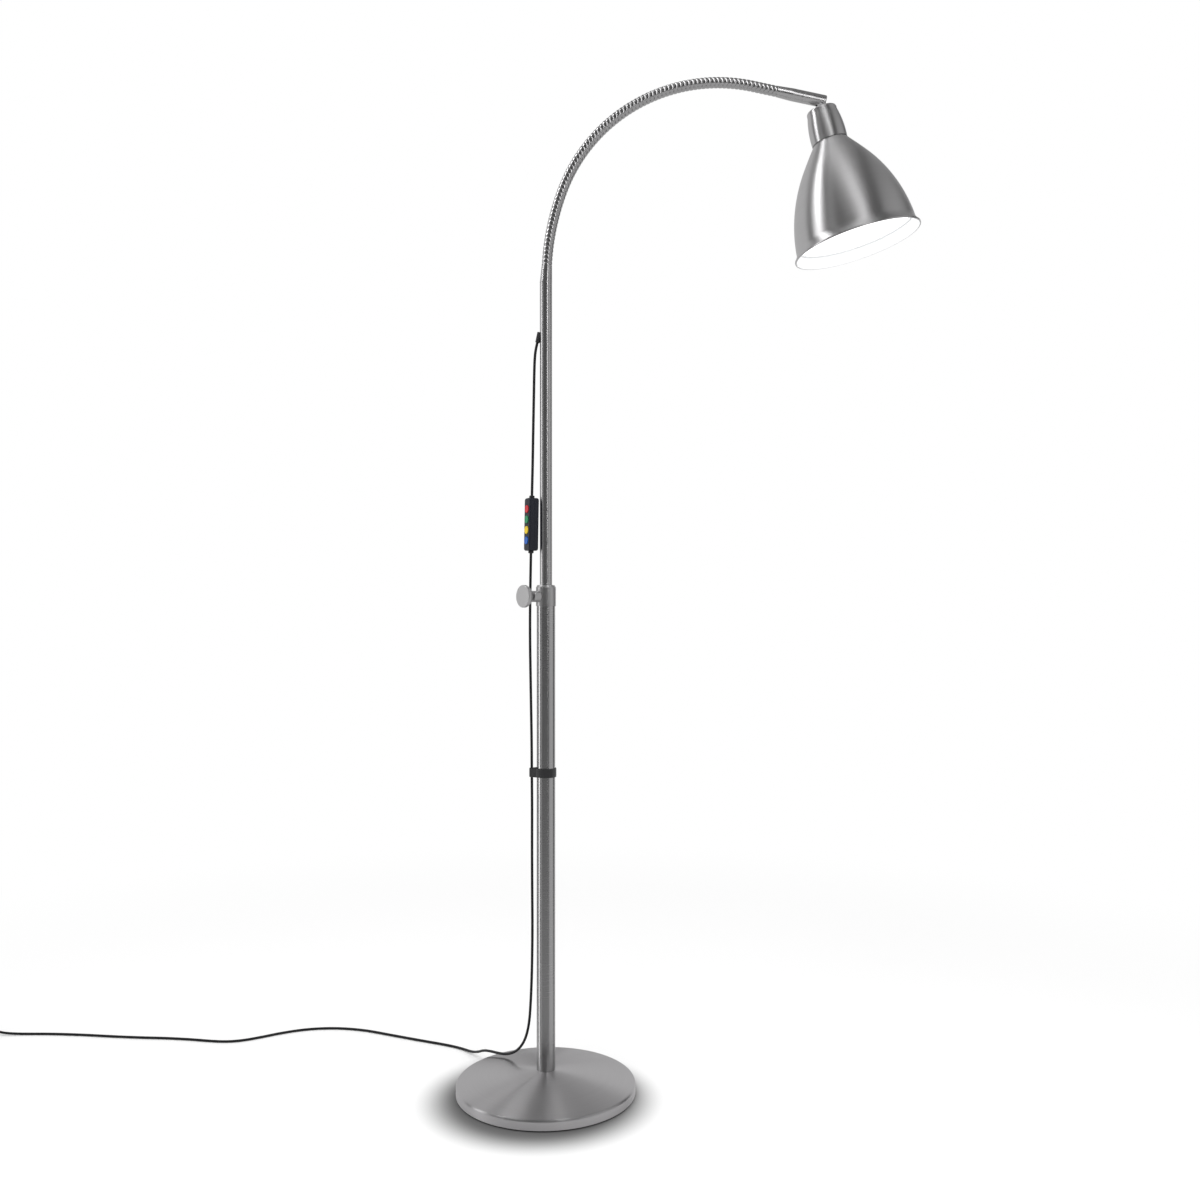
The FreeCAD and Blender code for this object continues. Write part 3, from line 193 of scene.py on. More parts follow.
world = bpy.data.worlds.new("studio")
world.use_nodes = True
scene.world = world
sky = Flow(world.node_tree)
world.node_tree.nodes.clear()
ray_x, ray_y, ray_z = sky.add("ShaderNodeTexCoord", out="Generated").parts()
bearing = ray_x.math("ARCTAN2", ray_y * -1) / (2 * math.pi) + 0.5
bands = bearing.add("ShaderNodeValToRGB", {
    "stops": [(angle / 360 + 0.5, level / STUDIO_PEAK) for angle, level in STUDIO_BANDS]},
    {0: bearing}) * STUDIO_PEAK
ceiling = ray_z.eased(*CEILING_FROM)
ground = ray_z.eased(*FLOOR_FROM)
studio = bands * (1 - ceiling) + ceiling * CEILING_LEVEL
studio = studio * (1 - ground) + ground * FLOOR_GLOW
ray = sky.add("ShaderNodeLightPath")
is_camera = Flow(world.node_tree, ray.socket.node.outputs["Is Camera Ray"])
is_glossy = Flow(world.node_tree, ray.socket.node.outputs["Is Glossy Ray"])
is_through = Flow(world.node_tree, ray.socket.node.outputs["Is Transmission Ray"])
plain = is_camera.math("MAXIMUM", is_through)
level = plain + (1 - plain) * (is_glossy * studio + (1 - is_glossy) * SKY_LEVEL)
background = sky.add("ShaderNodeBackground", inputs={"Color": level})
sky.add("ShaderNodeOutputWorld", inputs={"Surface": background})

for name, place, size, power in (
    ("overhead_light", (-0.5, -0.9, 2.3), 1.3, 12.0),
    ("fill_light", (1.4, -1.6, 1.4), 1.0, 4.0),
):
    lamp_data = bpy.data.lights.new(name, "AREA")
    lamp_data.size = size
    lamp_data.energy = power
    lamp = bpy.data.objects.new(name, lamp_data)
    lamp.location = place
    aim = Vector((0.05, 0, 0.3)) - Vector(place)
    lamp.rotation_euler = aim.to_track_quat("-Z", "Y").to_euler()
    lamp.visible_glossy = False
    scene.collection.objects.link(lamp)

for name, place, faces, width, height, radiance in STRIPS:
    lamp_data = bpy.data.lights.new(name, "AREA")
    lamp_data.shape = "RECTANGLE"
    lamp_data.size = width
    lamp_data.size_y = height
    lamp_data.energy = radiance * math.pi * width * height
    lamp = bpy.data.objects.new(name, lamp_data)
    lamp.location = place
    lamp.rotation_euler = (Vector(faces) - Vector(place)).to_track_quat("-Z", "Y").to_euler()
    lamp.visible_camera = False
    lamp.visible_diffuse = False
    lamp.visible_transmission = False
    scene.collection.objects.link(lamp)


def new_material(name):
    """Material with a Principled shader: (material, the start of its tree, its shader node)."""
    material = bpy.data.materials.new(name)
    material.use_nodes = True
    shader = material.node_tree.nodes["Principled BSDF"]
    return material, Flow(material.node_tree), shader


def feed(shader, **sockets):
    """Sets or links sockets of a shader; an underscore in a name stands for a space."""
    for name, value in sockets.items():
        socket = shader.inputs[name.replace("_", " ")]
        if isinstance(value, Flow):
            value.tree.links.new(value.socket, socket)
        else:
            socket.default_value = value


floor_material, tone, shader = new_material("white_sweep")
floor_x, floor_y, _ = tone.add("ShaderNodeTexCoord", out="Object").parts()
far = combined(tone.tree, floor_x, floor_y, 0.0).vector("LENGTH", (0, 0, 0), "Value")
far = far.eased(*FLOOR_FADE)
# painted shadow: the floor's colour is SHADOW_TONE within the inner radius round the base, fading to
# white by the outer one
outside_painted_shadow = combined(tone.tree, floor_x - SHADOW_PLACE[0], floor_y - SHADOW_PLACE[1], 0.0)
outside_painted_shadow = outside_painted_shadow.vector("LENGTH", (0, 0, 0), "Value").eased(*SHADOW_REACH)
feed(shader, Base_Color=mix_colours(outside_painted_shadow, (SHADOW_TONE,) * 3 + (1,), (FLOOR_WHITE,) * 3 + (1,)),
     Roughness=0.9)
shader.inputs["Specular IOR Level"].default_value = 0.0
glow = tone.add("ShaderNodeEmission", inputs={"Color": (1, 1, 1, 1)})
sweep = tone.add("ShaderNodeMixShader",
                 inputs={0: far, 1: Flow(tone.tree, shader.outputs[0]), 2: glow})
tone.tree.links.new(sweep.socket, tone.tree.nodes["Material Output"].inputs["Surface"])
half = FLOOR_SIZE / 2
floor_mesh = bpy.data.meshes.new("floor")
floor_mesh.from_pydata([(-half, -half, 0), (half, -half, 0), (half, half, 0), (-half, half, 0)], [],
                       [(0, 1, 2, 3)])
floor_mesh.materials.append(floor_material)
floor = bpy.data.objects.new("floor", floor_mesh)
floor.visible_glossy = False
scene.collection.objects.link(floor)

# ---------------------------------------------------------------- cords
# Thin black sheathed lead. It hangs from the grommet to the dimmer switch, goes on down the mast,
# through the strap, over the base and along the floor to its plug-in adapter. Extruded vinyl.
CORD_RADIUS = 0.0018
CORD_SIDES = 20
UPPER_ROUTE = (
    (-0.01149, 0, 1.00546), (-0.0143, 0, 0.995), (-0.0156, 0.0004, 0.974), (-0.0163, 0.001, 0.934),
    (-0.0172, 0.0006, 0.884), (-0.0179, 0.0001, 0.838), (-0.0185, -0.0001, 0.815),
    (-0.01881, 0, 0.80009),
)
LOWER_ROUTE = (
    (-0.02016, 0, 0.7228), (-0.0205, 0.0002, 0.704), (-0.0212, 0.0012, 0.668),
    (-0.0216, 0.0016, 0.615), (-0.0208, 0.001, 0.562), (-0.0199, 0.0004, 0.512),
    (-0.0192, 0.0001, 0.470), (-0.019, 0, 0.429), (-0.0186, 0.0002, 0.380),
    (-0.0188, 0.0008, 0.326),
    (-0.0185, 0.0006, 0.270), (-0.0181, 0.0003, 0.216), (-0.0188, 0.0006, 0.164),
    (-0.0204, 0.0025, 0.122), (-0.023, 0.0085, 0.088), (-0.0295, 0.021, 0.061),
    (-0.041, 0.037, 0.041), (-0.056, 0.054, 0.0295), (-0.070, 0.069, 0.0255),
    (-0.0825, 0.0825, 0.0232), (-0.0935, 0.0965, 0.019), (-0.103, 0.1125, 0.0105),
    (-0.1145, 0.131, 0.0034), (-0.130, 0.1475, 0.0019), (-0.154, 0.1615, 0.0019),
    (-0.200, 0.181, 0.0019), (-0.244, 0.201, 0.0019), (-0.289, 0.222, 0.0019),
    (-0.334, 0.231, 0.0019), (-0.376, 0.227, 0.0019), (-0.411, 0.212, 0.0019),
    (-0.438, 0.194, 0.0019), (-0.462, 0.180, 0.0019), (-0.485, 0.1745, 0.0019),
    (-0.510, 0.177, 0.0019), (-0.538, 0.183, 0.0019), (-0.577, 0.1885, 0.0019),
    (-0.618, 0.191, 0.0019), (-0.664, 0.1955, 0.0019), (-0.714, 0.2025, 0.0019),
    (-0.766, 0.2065, 0.0019), (-0.810, 0.206, 0.0019), (-0.836, 0.2052, 0.0034),
    (-0.853, 0.2048, 0.0085), (-0.866, 0.2046, 0.0126), (-0.879, 0.2045, 0.0146),
    (-0.892, 0.2045, 0.015), (-0.917, 0.2045, 0.015),
)
SWIVEL_JOIN = 0.030


def spline(name, points, radius, steps):
    """Curve object of one smooth spline led by the given points."""
    curve = bpy.data.curves.new(name, "CURVE")
    curve.dimensions = "3D"
    curve.resolution_u = steps
    curve.bevel_depth = radius
    curve.bevel_resolution = 6
    curve.use_fill_caps = True
    line = curve.splines.new("NURBS")
    line.points.add(len(points) - 1)
    line.points.foreach_set("co", np.column_stack([points, np.ones(len(points))]).ravel())
    line.order_u = 3
    line.use_endpoint_u = True
    return bpy.data.objects.new(name, curve)


def spline_points(points, steps):
    """Points along the smooth spline led by the given points."""
    guide = spline("guide", points, 0.0, steps)
    scene.collection.objects.link(guide)
    bpy.context.view_layer.update()
    depsgraph = bpy.context.evaluated_depsgraph_get()
    mesh = bpy.data.meshes.new_from_object(guide.evaluated_get(depsgraph))
    line = np.zeros(len(mesh.vertices) * 3)
    mesh.vertices.foreach_get("co", line)
    bpy.data.objects.remove(guide)
    return line.reshape(-1, 3)


def surface(name, grid, loop=False, sharp=32.0):
    """Closed piece from a grid of points (rows, columns, 3). Columns close round. Rows close too if
    loop, and otherwise the first and last row are single points repeated, which are merged."""
    rows, columns = grid.shape[:2]
    row = np.arange(rows if loop else rows - 1)[:, None]
    column = np.arange(columns)[None, :]
    beside = (column + 1) % columns
    below = (row + 1) % rows
    faces = np.stack([row * columns + column, row * columns + beside,
                      below * columns + beside, below * columns + column], -1).reshape(-1, 4)
    mesh = bpy.data.meshes.new(name)
    mesh.from_pydata(grid.reshape(-1, 3).tolist(), [], faces.tolist())
    shape = bmesh.new()
    shape.from_mesh(mesh)
    bmesh.ops.remove_doubles(shape, verts=shape.verts, dist=1e-7)
    bmesh.ops.recalc_face_normals(shape, faces=shape.faces)
    shape.to_mesh(mesh)
    shape.free()
    mesh.shade_smooth()
    mesh.set_sharp_from_angle(angle=math.radians(sharp))
    piece = bpy.data.objects.new(name, mesh)
    scene.collection.objects.link(piece)
    return piece


def round_bar(line, radius, sides):
    """Grid of rings round a line of points: centre + radius (cos t N + sin t B), where N is the part
    of the X axis square to the line and B is square to both. Its ends close on the line."""
    along = np.gradient(line, axis=0)
    along /= np.linalg.norm(along, axis=1)[:, None]
    side = np.array([1.0, 0, 0]) - along[:, :1] * along
    side /= np.linalg.norm(side, axis=1)[:, None]
    other = np.cross(along, side)
    turn = np.linspace(0, 2 * math.pi, sides, endpoint=False)[None, :, None]
    rings = line[:, None] + radius * (np.cos(turn) * side[:, None] + np.sin(turn) * other[:, None])
    first = np.repeat(line[:1, None], sides, 1)
    last = np.repeat(line[-1:, None], sides, 1)
    return np.concatenate([first, rings, last])


def black_vinyl(name, colour, roughness, grain):
    """Moulded or extruded black vinyl: a faint cloudy sheen and a fine skin."""
    material, tone, shader = new_material(name)
    place = tone.add("ShaderNodeTexCoord", out="Object")
    cloud = place.noise(2.0, 60.0)
    skin = place.noise(3.0, grain)
    lighter = tuple(channel * 1.7 for channel in colour)
    bump = tone.add("ShaderNodeBump", inputs={"Strength": 0.18, "Distance": 0.0002, "Height": skin})
    feed(shader, Base_Color=mix_colours(cloud, colour + (1,), lighter + (1,)),
         Roughness=cloud * 0.12 + roughness, Normal=bump)
    return material


cord_vinyl = black_vinyl("cord_vinyl", (0.004, 0.004, 0.005), 0.42, 1800.0)

upper_line = spline_points(UPPER_ROUTE, 16)
upper_reach = np.cumsum(np.linalg.norm(np.diff(upper_line, axis=0), axis=1))
join = np.argmin(np.abs(upper_reach - SWIVEL_JOIN)) + 1
top_line, main_line = upper_line[:join + 1], upper_line[join:]
cord_top = surface("cord_at_grommet", round_bar(top_line, CORD_RADIUS, CORD_SIDES))
cord_main = surface("cord_upper_run", round_bar(main_line, CORD_RADIUS, CORD_SIDES))
for piece in (cord_top, cord_main):
    piece.data.materials.append(cord_vinyl)
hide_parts("cord_upper")
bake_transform(cord_top)
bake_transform(cord_main)

cord_lower = spline("cord_lower_run", LOWER_ROUTE, CORD_RADIUS, 12)
scene.collection.objects.link(cord_lower)
cord_lower.data.materials.append(cord_vinyl)
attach(cord_lower, "base")
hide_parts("cord_lower")


# ---------------------------------------------------------------- base
# Round weighted foot: a spun steel cover, brushed in rings and nickel plated, over an iron disc,
# on a black foam pad. A bolt with a washer holds the mast's plug from below.
BASE_RADIUS = 0.120
PAD_TOP = 0.002
PAD_INSET = 0.003
RIM_TOP = 0.015
DOME_RISE = 0.0165
COVER_WALL = 0.0015
RIM_ROUND = 0.0025
MAST_RADIUS = 0.0125
DOME_BEND = (BASE_RADIUS ** 2 + DOME_RISE ** 2) / (2 * DOME_RISE)


def axis_place(origin, toward=(0, 0, 1)):
    """Matrix whose own Z axis points along a direction from an origin."""
    turn = Vector((0, 0, 1)).rotation_difference(Vector(toward)).to_matrix().to_4x4()
    return Matrix.Translation(Vector(origin)) @ turn


def softened(corners, steps=5):
    """Outline whose corners (radius, height, cut) are eased: from A, a cut before the corner C, to B,
    a cut behind it, by (1-t)^2 A + 2t(1-t) C + t^2 B. A corner without a cut stays sharp."""
    places = np.array([corner[:2] for corner in corners], float)
    share = np.linspace(0, 1, steps + 1)[:, None]
    line = []
    for number, corner in enumerate(corners):
        here = places[number]
        if len(corner) < 3:
            line.append(here[None])
            continue
        back = places[number - 1] - here
        ahead = places[(number + 1) % len(places)] - here
        start = here + back / np.linalg.norm(back) * corner[2]
        end = here + ahead / np.linalg.norm(ahead) * corner[2]
        line.append((1 - share) ** 2 * start + 2 * share * (1 - share) * here + share ** 2 * end)
    return np.concatenate(line)


def arc(start, end, bend, side, steps=24):
    """Corners on an arc of radius bend from start to end, its centre on the left (1) or right (-1)."""
    start, end = np.array(start, float), np.array(end, float)
    chord = end - start
    reach = math.sqrt(bend ** 2 - (chord @ chord) / 4)
    across = np.array([-chord[1], chord[0]])
    centre = (start + end) / 2 + side * reach * across / np.linalg.norm(chord)
    first, last = (math.atan2(*(point - centre)[::-1]) for point in (start, end))
    if side * (last - first) < 0:
        last += side * 2 * math.pi
    turn = np.linspace(first, last, steps)
    return [tuple(centre + bend * np.array([math.cos(angle), math.sin(angle)])) for angle in turn]


def turned(name, outline, place=None, loop=True, segments=160, sharp=32.0):
    """Piece turned on a lathe: (radius cos t, radius sin t, height) for each point of the outline,
    moved to its axis. The outline closes on itself if loop, and otherwise starts and ends at radius 0."""
    line = softened(outline)
    turn = np.linspace(0, 2 * math.pi, segments, endpoint=False)
    grid = np.stack([line[:, :1] * np.cos(turn), line[:, :1] * np.sin(turn),
                     np.repeat(line[:, 1:], segments, 1)], -1)
    matrix = np.array(place or Matrix.Identity(4))
    grid = grid @ matrix[:3, :3].T + matrix[:3, 3]
    piece = surface(name, grid, loop, sharp)
    piece.modifiers.new("even_shading", "WEIGHTED_NORMAL").keep_sharp = True
    return piece


def stand_for(piece, material, *names, body=None, slot=None):
    """The piece takes a material, rides where its CAD nodes ride, and is shown in their place."""
    piece.data.materials.append(material)
    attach(piece, body or nodes[names[0]]["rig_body"])
    if names:
        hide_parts(*names)
    return piece


def dress(material, *names):
    """Gives CAD nodes that stay their material."""
    for name in names:
        nodes[name].material_slots[0].material = material


def brushed_nickel(name, place=None, colour=(0.60, 0.595, 0.60), roughness=0.3, depth=0.3,
                   stretch=0.95, rim=None):
    """Nickel plate over metal brushed in rings round its axis: lines along (radius + height), which
    hardly change round the axis, over a faint cloudy stain. The rings stretch highlights along the
    outline. Below the height of a rim the finish is plain satin."""
    material, tone, shader = new_material(name)
    matrix = place or Matrix.Identity(4)
    own = tone.add("ShaderNodeMapping", {"vector_type": "TEXTURE"}, {
        "Vector": tone.add("ShaderNodeTexCoord", out="Object"),
        "Location": matrix.translation[:], "Rotation": matrix.to_euler()[:]})
    x, y, z = own.parts()
    radius = combined(tone.tree, x, y, 0.0).vector("LENGTH", (0, 0, 0), "Value")
    along = radius + z
    fine = combined(tone.tree, x * 22, y * 22, along * 1900).noise(2.0)
    coarse = combined(tone.tree, x * 9, y * 9, along * 520).noise(1.0)
    cloud = own.noise(2.0, 14.0)
    grain = fine * 0.6 + coarse * 0.4
    bump = tone.add("ShaderNodeBump", inputs={
        "Strength": depth, "Distance": 0.00002, "Height": grain})
    light = tuple(min(channel * 1.05, 1) for channel in colour) + (1,)
    dark = tuple(channel * 0.93 for channel in colour) + (1,)
    feed(shader, Base_Color=mix_colours(coarse * 0.5 + cloud * 0.5, dark, light),
         Roughness=fine * 0.07 + cloud * 0.05 + (roughness - 0.06), Metallic=1.0, Normal=bump,
         Anisotropic=stretch, Anisotropic_Rotation=0.25)
    if rim:
        wall = z.eased(rim + 0.0006, rim - 0.0006)
        feed(shader, Metallic=1 - wall * 0.45, Roughness=wall * 0.25 + roughness)
    return material


def dome_top(radius):
    """Height of the cover's top: a cap of a ball of radius DOME_BEND."""
    return RIM_TOP + DOME_RISE - DOME_BEND + np.sqrt(DOME_BEND ** 2 - radius ** 2)


cover_nickel = brushed_nickel("cover_nickel", colour=(0.60, 0.59, 0.60), roughness=0.42, depth=0.12,
                              rim=RIM_TOP - RIM_ROUND)
inner_edge = BASE_RADIUS - COVER_WALL
dome = np.linspace(MAST_RADIUS, BASE_RADIUS - 2.6 * RIM_ROUND, 40)
inside = np.linspace(inner_edge - 2 * RIM_ROUND, MAST_RADIUS, 16)
base_cover = turned("base_shell", [
    *zip(dome, dome_top(dome)),
    (BASE_RADIUS, RIM_TOP, RIM_ROUND),
    (BASE_RADIUS, PAD_TOP, 0.0004),
    (inner_edge, PAD_TOP),
    (inner_edge, RIM_TOP - COVER_WALL),
    *zip(inside, dome_top(inside) - COVER_WALL),
], segments=256)
stand_for(base_cover, cover_nickel, "base_cover", slot="brushed_cover")

foam, tone, shader = new_material("floor_foam")
cells = tone.add("ShaderNodeTexCoord", out="Object").noise(2.0, 900.0)
feed(shader, Base_Color=mix_colours(cells, (0.012, 0.012, 0.012, 1), (0.035, 0.035, 0.034, 1)),
     Roughness=cells * 0.1 + 0.85,
     Normal=tone.add("ShaderNodeBump",
                     inputs={"Strength": 0.6, "Distance": 0.0003, "Height": cells}))
pad_edge = BASE_RADIUS - PAD_INSET
base_pad = turned("base_foot_pad", [
    (0, 0), (pad_edge, 0, 0.0006), (pad_edge, PAD_TOP), (0, PAD_TOP)], loop=False, segments=256)
stand_for(base_pad, foam, "base_pad", slot="floor_pad")


def cast_metal(name, colour, roughness, bumps):
    """Bare or plated metal as cast, pressed or turned, with a fine grain and a cloudy stain."""
    material, tone, shader = new_material(name)
    place = tone.add("ShaderNodeTexCoord", out="Object")
    grain = place.noise(3.0, bumps)
    cloud = place.noise(2.0, 45.0)
    dark = tuple(channel * 0.86 for channel in colour) + (1,)
    feed(shader, Base_Color=mix_colours(cloud, dark, colour + (1,)), Metallic=1.0,
         Roughness=grain * 0.12 + roughness,
         Normal=tone.add("ShaderNodeBump", inputs={
             "Strength": 0.25, "Distance": 0.0001, "Height": grain}))
    return material


cast_iron = cast_metal("cast_iron", (0.16, 0.16, 0.17), 0.6, 700.0)
zinc_plate = cast_metal("zinc_plate", (0.66, 0.67, 0.70), 0.28, 1500.0)
dress(cast_iron, "base_weight")
dress(zinc_plate, "base_washer", "base_bolt")


def moulded(name, colour, roughness, grain, depth=0.15):
    """Moulded plastic: an even colour, faintly uneven, with an eroded skin."""
    material, tone, shader = new_material(name)
    place = tone.add("ShaderNodeTexCoord", out="Object")
    skin = place.noise(2.0, grain)
    cloud = place.noise(2.0, 90.0)
    dark = tuple(channel * 0.9 for channel in colour) + (1,)
    feed(shader, Base_Color=mix_colours(cloud, dark, colour + (1,)),
         Roughness=cloud * 0.08 + roughness,
         Normal=tone.add("ShaderNodeBump", inputs={
             "Strength": depth, "Distance": 0.0002, "Height": skin}))
    return material


nylon = moulded("nylon", (0.82, 0.81, 0.77), 0.4, 900.0)
dress(nylon, "foot_plug")


# ---------------------------------------------------------------- lower tube and clamp
# Steel tube standing on the base, plated and brushed in rings. A cast collar on its top holds a
# nylon bush, and a knob on the collar's boss presses a shoe on the sliding upper tube.
LOWER_TOP = 0.672
LOWER_WALL = 0.0012
KNOB_ANGLE = math.radians(219)
KNOB_HEIGHT = LOWER_TOP - 0.0073
KNOB_BACK = 0.0236
KNOB_FACE = 0.0386
KNOB_RADIUS = 0.015
KNOB_NECK = 0.0046
KNOB_RIM = 0.005
KNOB_BACK_BEND = 0.0166

mast_nickel = brushed_nickel("mast_nickel", roughness=0.26, depth=0.15, stretch=0.8)
lower_bore = MAST_RADIUS - LOWER_WALL
lower_tube = turned("lower_mast", [
    (lower_bore, RIM_TOP), (MAST_RADIUS, RIM_TOP), (MAST_RADIUS, LOWER_TOP),
    (lower_bore, LOWER_TOP)])
stand_for(lower_tube, mast_nickel, "lower_tube", slot="mast_steel")


def finished_copy(name, node, bevel=0.0, sharp=30.0):
    """Copy of a CAD node with its loose triangles merged and its curved faces shaded smooth, the
    sharp edges eased by a small bevel."""
    mesh = nodes[node].data.copy()
    mesh.name = name
    mesh.materials.clear()
    shape = bmesh.new()
    shape.from_mesh(mesh)
    bmesh.ops.remove_doubles(shape, verts=shape.verts, dist=1e-6)
    bmesh.ops.dissolve_limit(shape, angle_limit=math.radians(0.2), verts=shape.verts,
                             edges=shape.edges)
    shape.to_mesh(mesh)
    shape.free()
    mesh.shade_smooth()
    mesh.set_sharp_from_angle(angle=math.radians(sharp))
    piece = bpy.data.objects.new(name, mesh)
    scene.collection.objects.link(piece)
    if bevel:
        ease = piece.modifiers.new("eased_edges", "BEVEL")
        ease.width = bevel
        ease.segments = 2
        ease.limit_method = "ANGLE"
        ease.angle_limit = math.radians(40)
    piece.modifiers.new("even_shading", "WEIGHTED_NORMAL").keep_sharp = True
    return piece


collar_nickel = brushed_nickel("collar_nickel", colour=(0.60, 0.595, 0.60), roughness=0.38,
                               stretch=0.3)
stand_for(finished_copy("mast_collar", "clamp_collar", 0.0003), collar_nickel, "clamp_collar",
          slot="cast_collar")
dress(nylon, "collar_bush", "brake_shoe")

knob_out = Vector((math.cos(KNOB_ANGLE), math.sin(KNOB_ANGLE), 0))
knob_place = axis_place(Vector((0, 0, KNOB_HEIGHT)) + knob_out * KNOB_BACK, knob_out)
knob_nickel = brushed_nickel("knob_nickel", knob_place, colour=(0.66, 0.655, 0.66), roughness=0.42,
                             stretch=0.0)
knob_length = KNOB_FACE - KNOB_BACK
knob_shoulder = knob_length - KNOB_RIM
screw_hole = 0.0031
knob = turned("clamp_knob_turned", [
    (screw_hole, 0), (KNOB_NECK, 0, 0.0004), (KNOB_NECK, 0.002),
    *arc((KNOB_NECK, 0.002), (KNOB_RADIUS, knob_shoulder + 0.001), KNOB_BACK_BEND, 1, 14),
    (KNOB_RADIUS, knob_length, 0.0012), (0, knob_length), (0, knob_shoulder + 0.0001),
    (screw_hole, knob_shoulder + 0.0001),
], knob_place, segments=96)
stand_for(knob, knob_nickel, "clamp_knob", slot="cast_knob")
dress(zinc_plate, "clamp_screw")

# ---------------------------------------------------------------- upper tube
# Thinner plated tube that slides and turns in the lower one. Its stopper, stop ring and guide bush
# stay inside the lower tube. A rubber grommet near its top lets the cord out.
UPPER_RADIUS = 0.00825
UPPER_FOOT = 0.520
MAST_TOP = 1.085
upper_bore = UPPER_RADIUS - 0.001
upper_tube = turned("upper_mast_tube", [
    (upper_bore, UPPER_FOOT), (UPPER_RADIUS, UPPER_FOOT), (UPPER_RADIUS, MAST_TOP),
    (upper_bore, MAST_TOP)])
stand_for(upper_tube, mast_nickel, "upper_tube", slot="mast_steel")
dress(nylon, "guide_bush", "tube_plug")
dress(zinc_plate, "stop_ring")
rubber = black_vinyl("grommet_rubber", (0.012, 0.012, 0.013), 0.5, 1500.0)
grommet = finished_copy("cord_grommet", "cable_grommet", 0.0003, 40.0)
stand_for(grommet, rubber, "cable_grommet", slot="black_rubber")

# ---------------------------------------------------------------- gooseneck
# Ribbed flexible arm between two plated sleeves: a plated wire wound over its core in one long
# helix, which bends and stays. The lamp's lead runs inside it.
FERRULE_LENGTH = 0.024
LEAN = math.radians(3)
NECK_SPANS = ((FERRULE_LENGTH, None), (0.103, 0.336), (0.317, 0.223), (1.0, None))
NECK_LENGTH = 0.453
NECK_LINKS = 10
LINK_LENGTH = NECK_LENGTH / NECK_LINKS
RIB_PITCH = LINK_LENGTH / 8
RIB_RADIUS = 0.007
RIB_GROOVE = 0.0009
NECK_BORE = 0.0042
LEAD_RADIUS = 0.0015
ARM_FERRULE = 0.035
ARM_RADIUS = 0.008


def arm_line(distance):
    """Points on the arm at distances from the top of the upper tube, and the heading from vertical
    there. An arc of radius R that turns it from a to b moves R (cos a - cos b) along X and
    R (sin b - sin a) along Z."""
    distance = np.asarray(distance, float)
    across = np.zeros_like(distance)
    up = np.full_like(distance, MAST_TOP)
    heading = np.full_like(distance, LEAN)
    begin = 0.0
    for length, bend in NECK_SPANS:
        step = np.clip(distance - begin, 0, length)
        if bend is None:
            across += step * np.sin(heading)
            up += step * np.cos(heading)
        else:
            turn = heading + step / bend
            across += bend * (np.cos(heading) - np.cos(turn))
            up += bend * (np.sin(turn) - np.sin(heading))
            heading = turn
        begin += length
    return np.stack([across, np.zeros_like(across), up], -1), heading


def arm_place(distance):
    """Matrix on the arm at a distance, own Z forward."""
    point, heading = arm_line([distance])
    return axis_place(point[0], (math.sin(heading[0]), 0, math.cos(heading[0])))


def along_arm(distance, radius, sides):
    """Grid of rings round the arm, each at its distance, its radius given for each ring and side:
    point + radius (cos t N + sin t Y), where N is square to the arm in its plane."""
    point, heading = arm_line(distance)
    turn = np.linspace(0, 2 * math.pi, sides, endpoint=False)[None, :]
    side = np.stack([np.cos(heading), np.zeros_like(heading), -np.sin(heading)], -1)[:, None]
    radius = radius[..., None]
    return point[:, None] + radius * (np.cos(turn)[..., None] * side
                                      + np.sin(turn)[..., None] * np.array([0, 1.0, 0]))


def rib_shape(distance, sides):
    """Radius of the wound wire: RIB_GROOVE sqrt(1 - w^2) above the groove, where w runs from -1 to 1
    over each pitch and shifts by a pitch in each turn, so that the ribs are one helix."""
    turn = np.linspace(0, 1, sides, endpoint=False)[None, :]
    phase = (distance[:, None] - FERRULE_LENGTH) / RIB_PITCH + turn
    across = 2 * (phase - np.floor(phase)) - 1
    return RIB_RADIUS - RIB_GROOVE + RIB_GROOVE * np.sqrt(1 - 0.995 * across ** 2)


wire_nickel, tone, shader = new_material("wound_wire_nickel")
place = tone.add("ShaderNodeTexCoord", out="Object")
streak = place.noise(3.0, 700.0)
cloud = place.noise(2.0, 30.0)
feed(shader, Base_Color=mix_colours(cloud, (0.50, 0.495, 0.50, 1), (0.60, 0.595, 0.60, 1)),
     Metallic=1.0, Roughness=streak * 0.08 + 0.17,
     Normal=tone.add("ShaderNodeBump",
                     inputs={"Strength": 0.2, "Distance": 0.00005, "Height": streak}))

